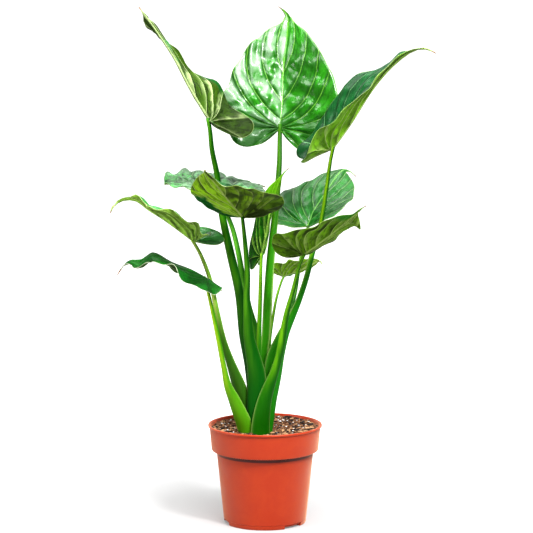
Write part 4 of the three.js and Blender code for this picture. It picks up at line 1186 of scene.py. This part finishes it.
def soilHeight(x, y):
    # Rising with the square of the radius and evenly towards the back, with broad and fine waves, which are
    # sums and products of sines and cosines
    form = soilForm
    turn = radians(form["tiltAngle"])
    across = (x * np.cos(turn) + y * np.sin(turn)) / form["reach"]
    waves = np.sin(x * 0.21 + 0.6) * np.cos(y * 0.17 - 0.4) + 0.6 * np.sin(x * 0.09 - y * 0.13)
    fine = np.sin(x * 0.9 + 1.3 * np.sin(y * 0.5)) * np.sin(y * 0.8 + 1.1 * np.sin(x * 0.6))
    bowl = (x ** 2 + y ** 2) / form["reach"] ** 2
    bed = form["level"] + form["rise"] * bowl + form["tilt"] * across
    return bed + form["waves"] * waves + form["fine"] * fine


def addSoil(wear):
    # Rings of the bed crowd at the wall, by a power of their share; the wall's profile is turned below them
    form = soilForm
    bed = form["edgeRadius"] * np.linspace(1, 0, form["rings"]) ** form["ringPower"]
    wall = np.array(form["wall"])
    radius = np.concatenate([wall[:, 0], bed])[:, None]
    angle = evenAngles(form["sides"])
    x, y = radius * np.sin(angle), -radius * np.cos(angle)
    z = soilHeight(x, y)
    z[:len(wall)] = wall[:, 1:]
    piece = addTurned("soil_bed", joined(x, y, z), {}, addEarthMaterial("soil_bed", form, wear))
    return fitPiece(piece, "soil", "soil")


def addGrains(name, material):
    # Small stones: one rounded lump of five rings, its points jittered, each copy stretched, tilted about its
    # own length, turned upright and set on the bed
    kind, form = grains[name], grainForm
    count, sides = kind["count"], form["sides"]
    random = np.random.default_rng(kind["seed"])
    angle = evenAngles(sides)
    levels = np.array(form["levels"])
    belt = np.sqrt(1 - levels ** 2)[:, None]
    lump = joined(belt * np.cos(angle), belt * np.sin(angle), levels[:, None])
    pole = np.zeros((1, sides, 3))
    pole[..., 2] = 1
    lump = np.concatenate([-pole, lump, pole])
    rings = len(lump)
    size = rings * sides
    shape = lump[None] * random.uniform(*form["jitter"], (count, rings, sides, 1))
    length = random.uniform(*kind["length"], count) * random.uniform(*form["shorter"], count)
    height = length * kind["flatness"]
    scale = np.stack([length, length * random.uniform(*form["breadth"], count), height], -1)
    x, y, z = np.moveaxis(shape.reshape(count, size, 3) * scale[:, None], -1, 0)
    turn = random.uniform(0, 2 * np.pi, (count, 1))
    tilt = random.normal(0, form["tilt"], (count, 1))
    y, z = y * np.cos(tilt) - z * np.sin(tilt), y * np.sin(tilt) + z * np.cos(tilt)
    x, y = x * np.cos(turn) - y * np.sin(turn), x * np.sin(turn) + y * np.cos(turn)
    radius = (soilForm["edgeRadius"] - form["wallGap"]) * np.sqrt(random.uniform(kind["inner"], 1, count))
    angle = random.uniform(0, 2 * np.pi, count)
    atX, atY = radius * np.sin(angle), -radius * np.cos(angle)
    atZ = soilHeight(atX, atY) + height * random.uniform(*form["lift"], count)
    points = joined(x, y, z) + joined(atX, atY, atZ)[:, None]
    quads = gridQuads(turnedIndex(rings, sides)) + size * np.arange(count)[:, None, None]
    tone = np.repeat(random.uniform(0, 1, count), size)
    piece = addMesh(name, points.reshape(-1, 3), quads, {"tone": tone}, material)
    piece.data.shade_flat()
    return fitPiece(piece, "soil")


def addEarthMaterial(name, form, wear, toned=False):
    # Lighter tones over the colour where the patches, or the grain's own tone, pass from low to high; scuffs
    # over them, a dull surface and a grainy relief
    material, add, surface = startMaterial(name)
    marks = addWear(add, wear, form["wear"])
    tone = attribute(add, "tone") if toned else marks["Patch"]
    colour = form["colour"]
    for low, high, lighter in form["tones"]:
        colour = blend(add, rest(add, fade(add, tone, low, high)), colour, lighter)
    feed(surface, {
        "Base Color": paint(add, marks, colour, [form["scuffs"]]),
        "Roughness": form["roughness"],
        "Normal": bump(add, marks["Grain"], *form["bump"]),
    })
    return material


# Crown: the short stem inside the sheaths
crownForm = {
    "centre": [-10, -3],
    "profile": [[0, 98], [13, 101], [19, 114], [19, 132], [14, 147], [11, 162], [8.5, 182], [5, 199],
                [0, 207]],
    "rings": 48,
    "sides": 48,
}


def addCrown(material):
    # A smooth profile turned round the crown's own upright axis
    form = crownForm
    pointAt, _, _ = smoothCurve(form["profile"])
    profile = pointAt(np.linspace(0, 1, form["rings"]))
    radius = np.maximum(profile[:, :1], 0)
    angle = evenAngles(form["sides"])
    x = radius * np.cos(angle) + form["centre"][0]
    y = radius * np.sin(angle) + form["centre"][1]
    values = {"along": np.zeros(x.size), "edge": np.zeros(x.size)}
    piece = addTurned("plant_crown", joined(x, y, profile[:, 1:]), values, material)
    return fitPiece(piece, "crown", "crown")


# Studio: white floor and surroundings; broad and key light come from the right in front, gleam and side light
# from the left. The surroundings' strength goes from front to back between two Y values of the direction, is
# mirrored times as high in reflections, and seen is the strength of the white backdrop.
studio = {
    "front": 0.07,
    "back": 0.6,
    "turnsAt": [-0.1, 0.7],
    "mirrored": 1.55,
    "seen": 1.05,
    "floorCorner": 20000,
    "floorLevel": -0.2,
    "floorColour": 0.4,
    "floorRoughness": 0.9,
    "floorSpecular": 0.1,
    "floorGlow": 0.2,
    "floorFade": [0.2, 0.75],
    "lights": [
        {"name": "broad", "place": [760, -1600, 2900], "aim": [0, 0, 600], "size": 2500, "power": 120},
        {"name": "key", "place": [1300, -2000, 2700], "aim": [0, 0, 400], "size": 500, "power": 70},
        {"name": "gleam", "place": [-1470, -1310, 2910], "aim": [60, 130, 750], "size": 1150, "power": 26},
        {"name": "side", "place": [-2400, -900, 900], "aim": [0, 0, 500], "size": 900, "power": 16},
        {"name": "top", "place": [-100, 500, 3000], "aim": [0, 0, 600], "size": 2000, "power": 50},
    ],
}


def addFloorMaterial():
    # White paper that glows more with distance from the pot, so that it ends in pure white
    material, add, surface = startMaterial("white_floor")
    away = add("ShaderNodeVectorMath", {0: objectPlace(add)}, operation="LENGTH").outputs["Value"]
    glow = remap(add, away, studio["floorFade"], (studio["floorGlow"], 1.0), "SMOOTHSTEP")
    seen = times(add, glow, add("ShaderNodeLightPath").outputs["Is Camera Ray"])
    white = add("ShaderNodeCombineColor", {0: seen, 1: seen, 2: seen}).outputs[0]
    feed(surface, {
        "Base Color": (*[studio["floorColour"]] * 3, 1),
        "Roughness": studio["floorRoughness"],
        "Specular IOR Level": studio["floorSpecular"],
        "Emission Color": white,
        "Emission Strength": 1.0,
    })
    return material


def addFloor():
    corner, level = studio["floorCorner"], studio["floorLevel"]
    points = np.array([[x * corner, y * corner, level] for x, y in ((-1, -1), (1, -1), (1, 1), (-1, 1))])
    floor = addMesh("floor", points, np.array([[0, 1, 2, 3]]), {}, addFloorMaterial())


def addWorld():
    # Dim in front of the plant and bright behind it, brighter in reflections, and a plain white backdrop
    world = bpy.data.worlds.new("studio")
    world.use_nodes = True
    add = nodeTree(world.node_tree)
    direction = add("ShaderNodeTexCoord").outputs["Generated"]
    backwards = add("ShaderNodeSeparateXYZ", {0: direction}).outputs["Y"]
    around = remap(add, backwards, studio["turnsAt"], (studio["front"], studio["back"]))
    ray = add("ShaderNodeLightPath").outputs
    around = times(add, around, calc(add, "MULTIPLY_ADD", ray["Is Glossy Ray"], studio["mirrored"] - 1, 1.0))
    strength = calc(add, "MAXIMUM", times(add, ray["Is Camera Ray"], studio["seen"]), around)
    feed(world.node_tree.nodes["Background"], {"Color": (1, 1, 1, 1), "Strength": strength})
    scene.world = world


def addLights():
    for light in studio["lights"]:
        data = bpy.data.lights.new(light["name"], "AREA")
        data.shape = "DISK"
        data.size = light["size"] * metre
        data.energy = light["power"]
        lamp = bpy.data.objects.new(light["name"], data)
        place, aim = (np.array(light[key]) * metre for key in ("place", "aim"))
        lamp.location = place.tolist()
        lamp.rotation_euler = Vector((aim - place).tolist()).to_track_quat("-Z", "Y").to_euler()
        scene.collection.objects.link(lamp)


addCamera()
scene.view_settings.view_transform = "Standard"
scene.view_settings.look = "Medium High Contrast"
addWorld()
addFloor()
addLights()
print("studio ready")
tissue = addTissueGroup()
wear = addWearGroup()
addPot(wear)
addSoil(wear)
addGrains("bark_pieces", addEarthMaterial("bark_pieces", soilForm, wear, toned=True))
addGrains("perlite", addEarthMaterial("perlite", perliteForm, wear))
print("pot and soil ready")
addCrown(addStalkMaterial("crown_tissue", stalkForm["light"], stalkForm["deep"], stalkForm["deep"],
                          lookDefaults["sheathFade"], wear))
looks = {name: {**lookDefaults, **look} for name, look in looks.items()}
for leafName, leafShape in leaves.items():
    look = looks[leafName]
    stalkMaterial = addStalkMaterial(f"stalk_{leafName}", *look["stalk"], look["sheathFade"], wear)
    addStalk(leafName, leafShape, stalkMaterial)
print("stalks ready")
for leafName, leafShape in leaves.items():
    look = looks[leafName]
    addBlade(leafName, leafShape, look, addBladeMaterial(f"blade_{leafName}", look, tissue))
print("leaves ready")
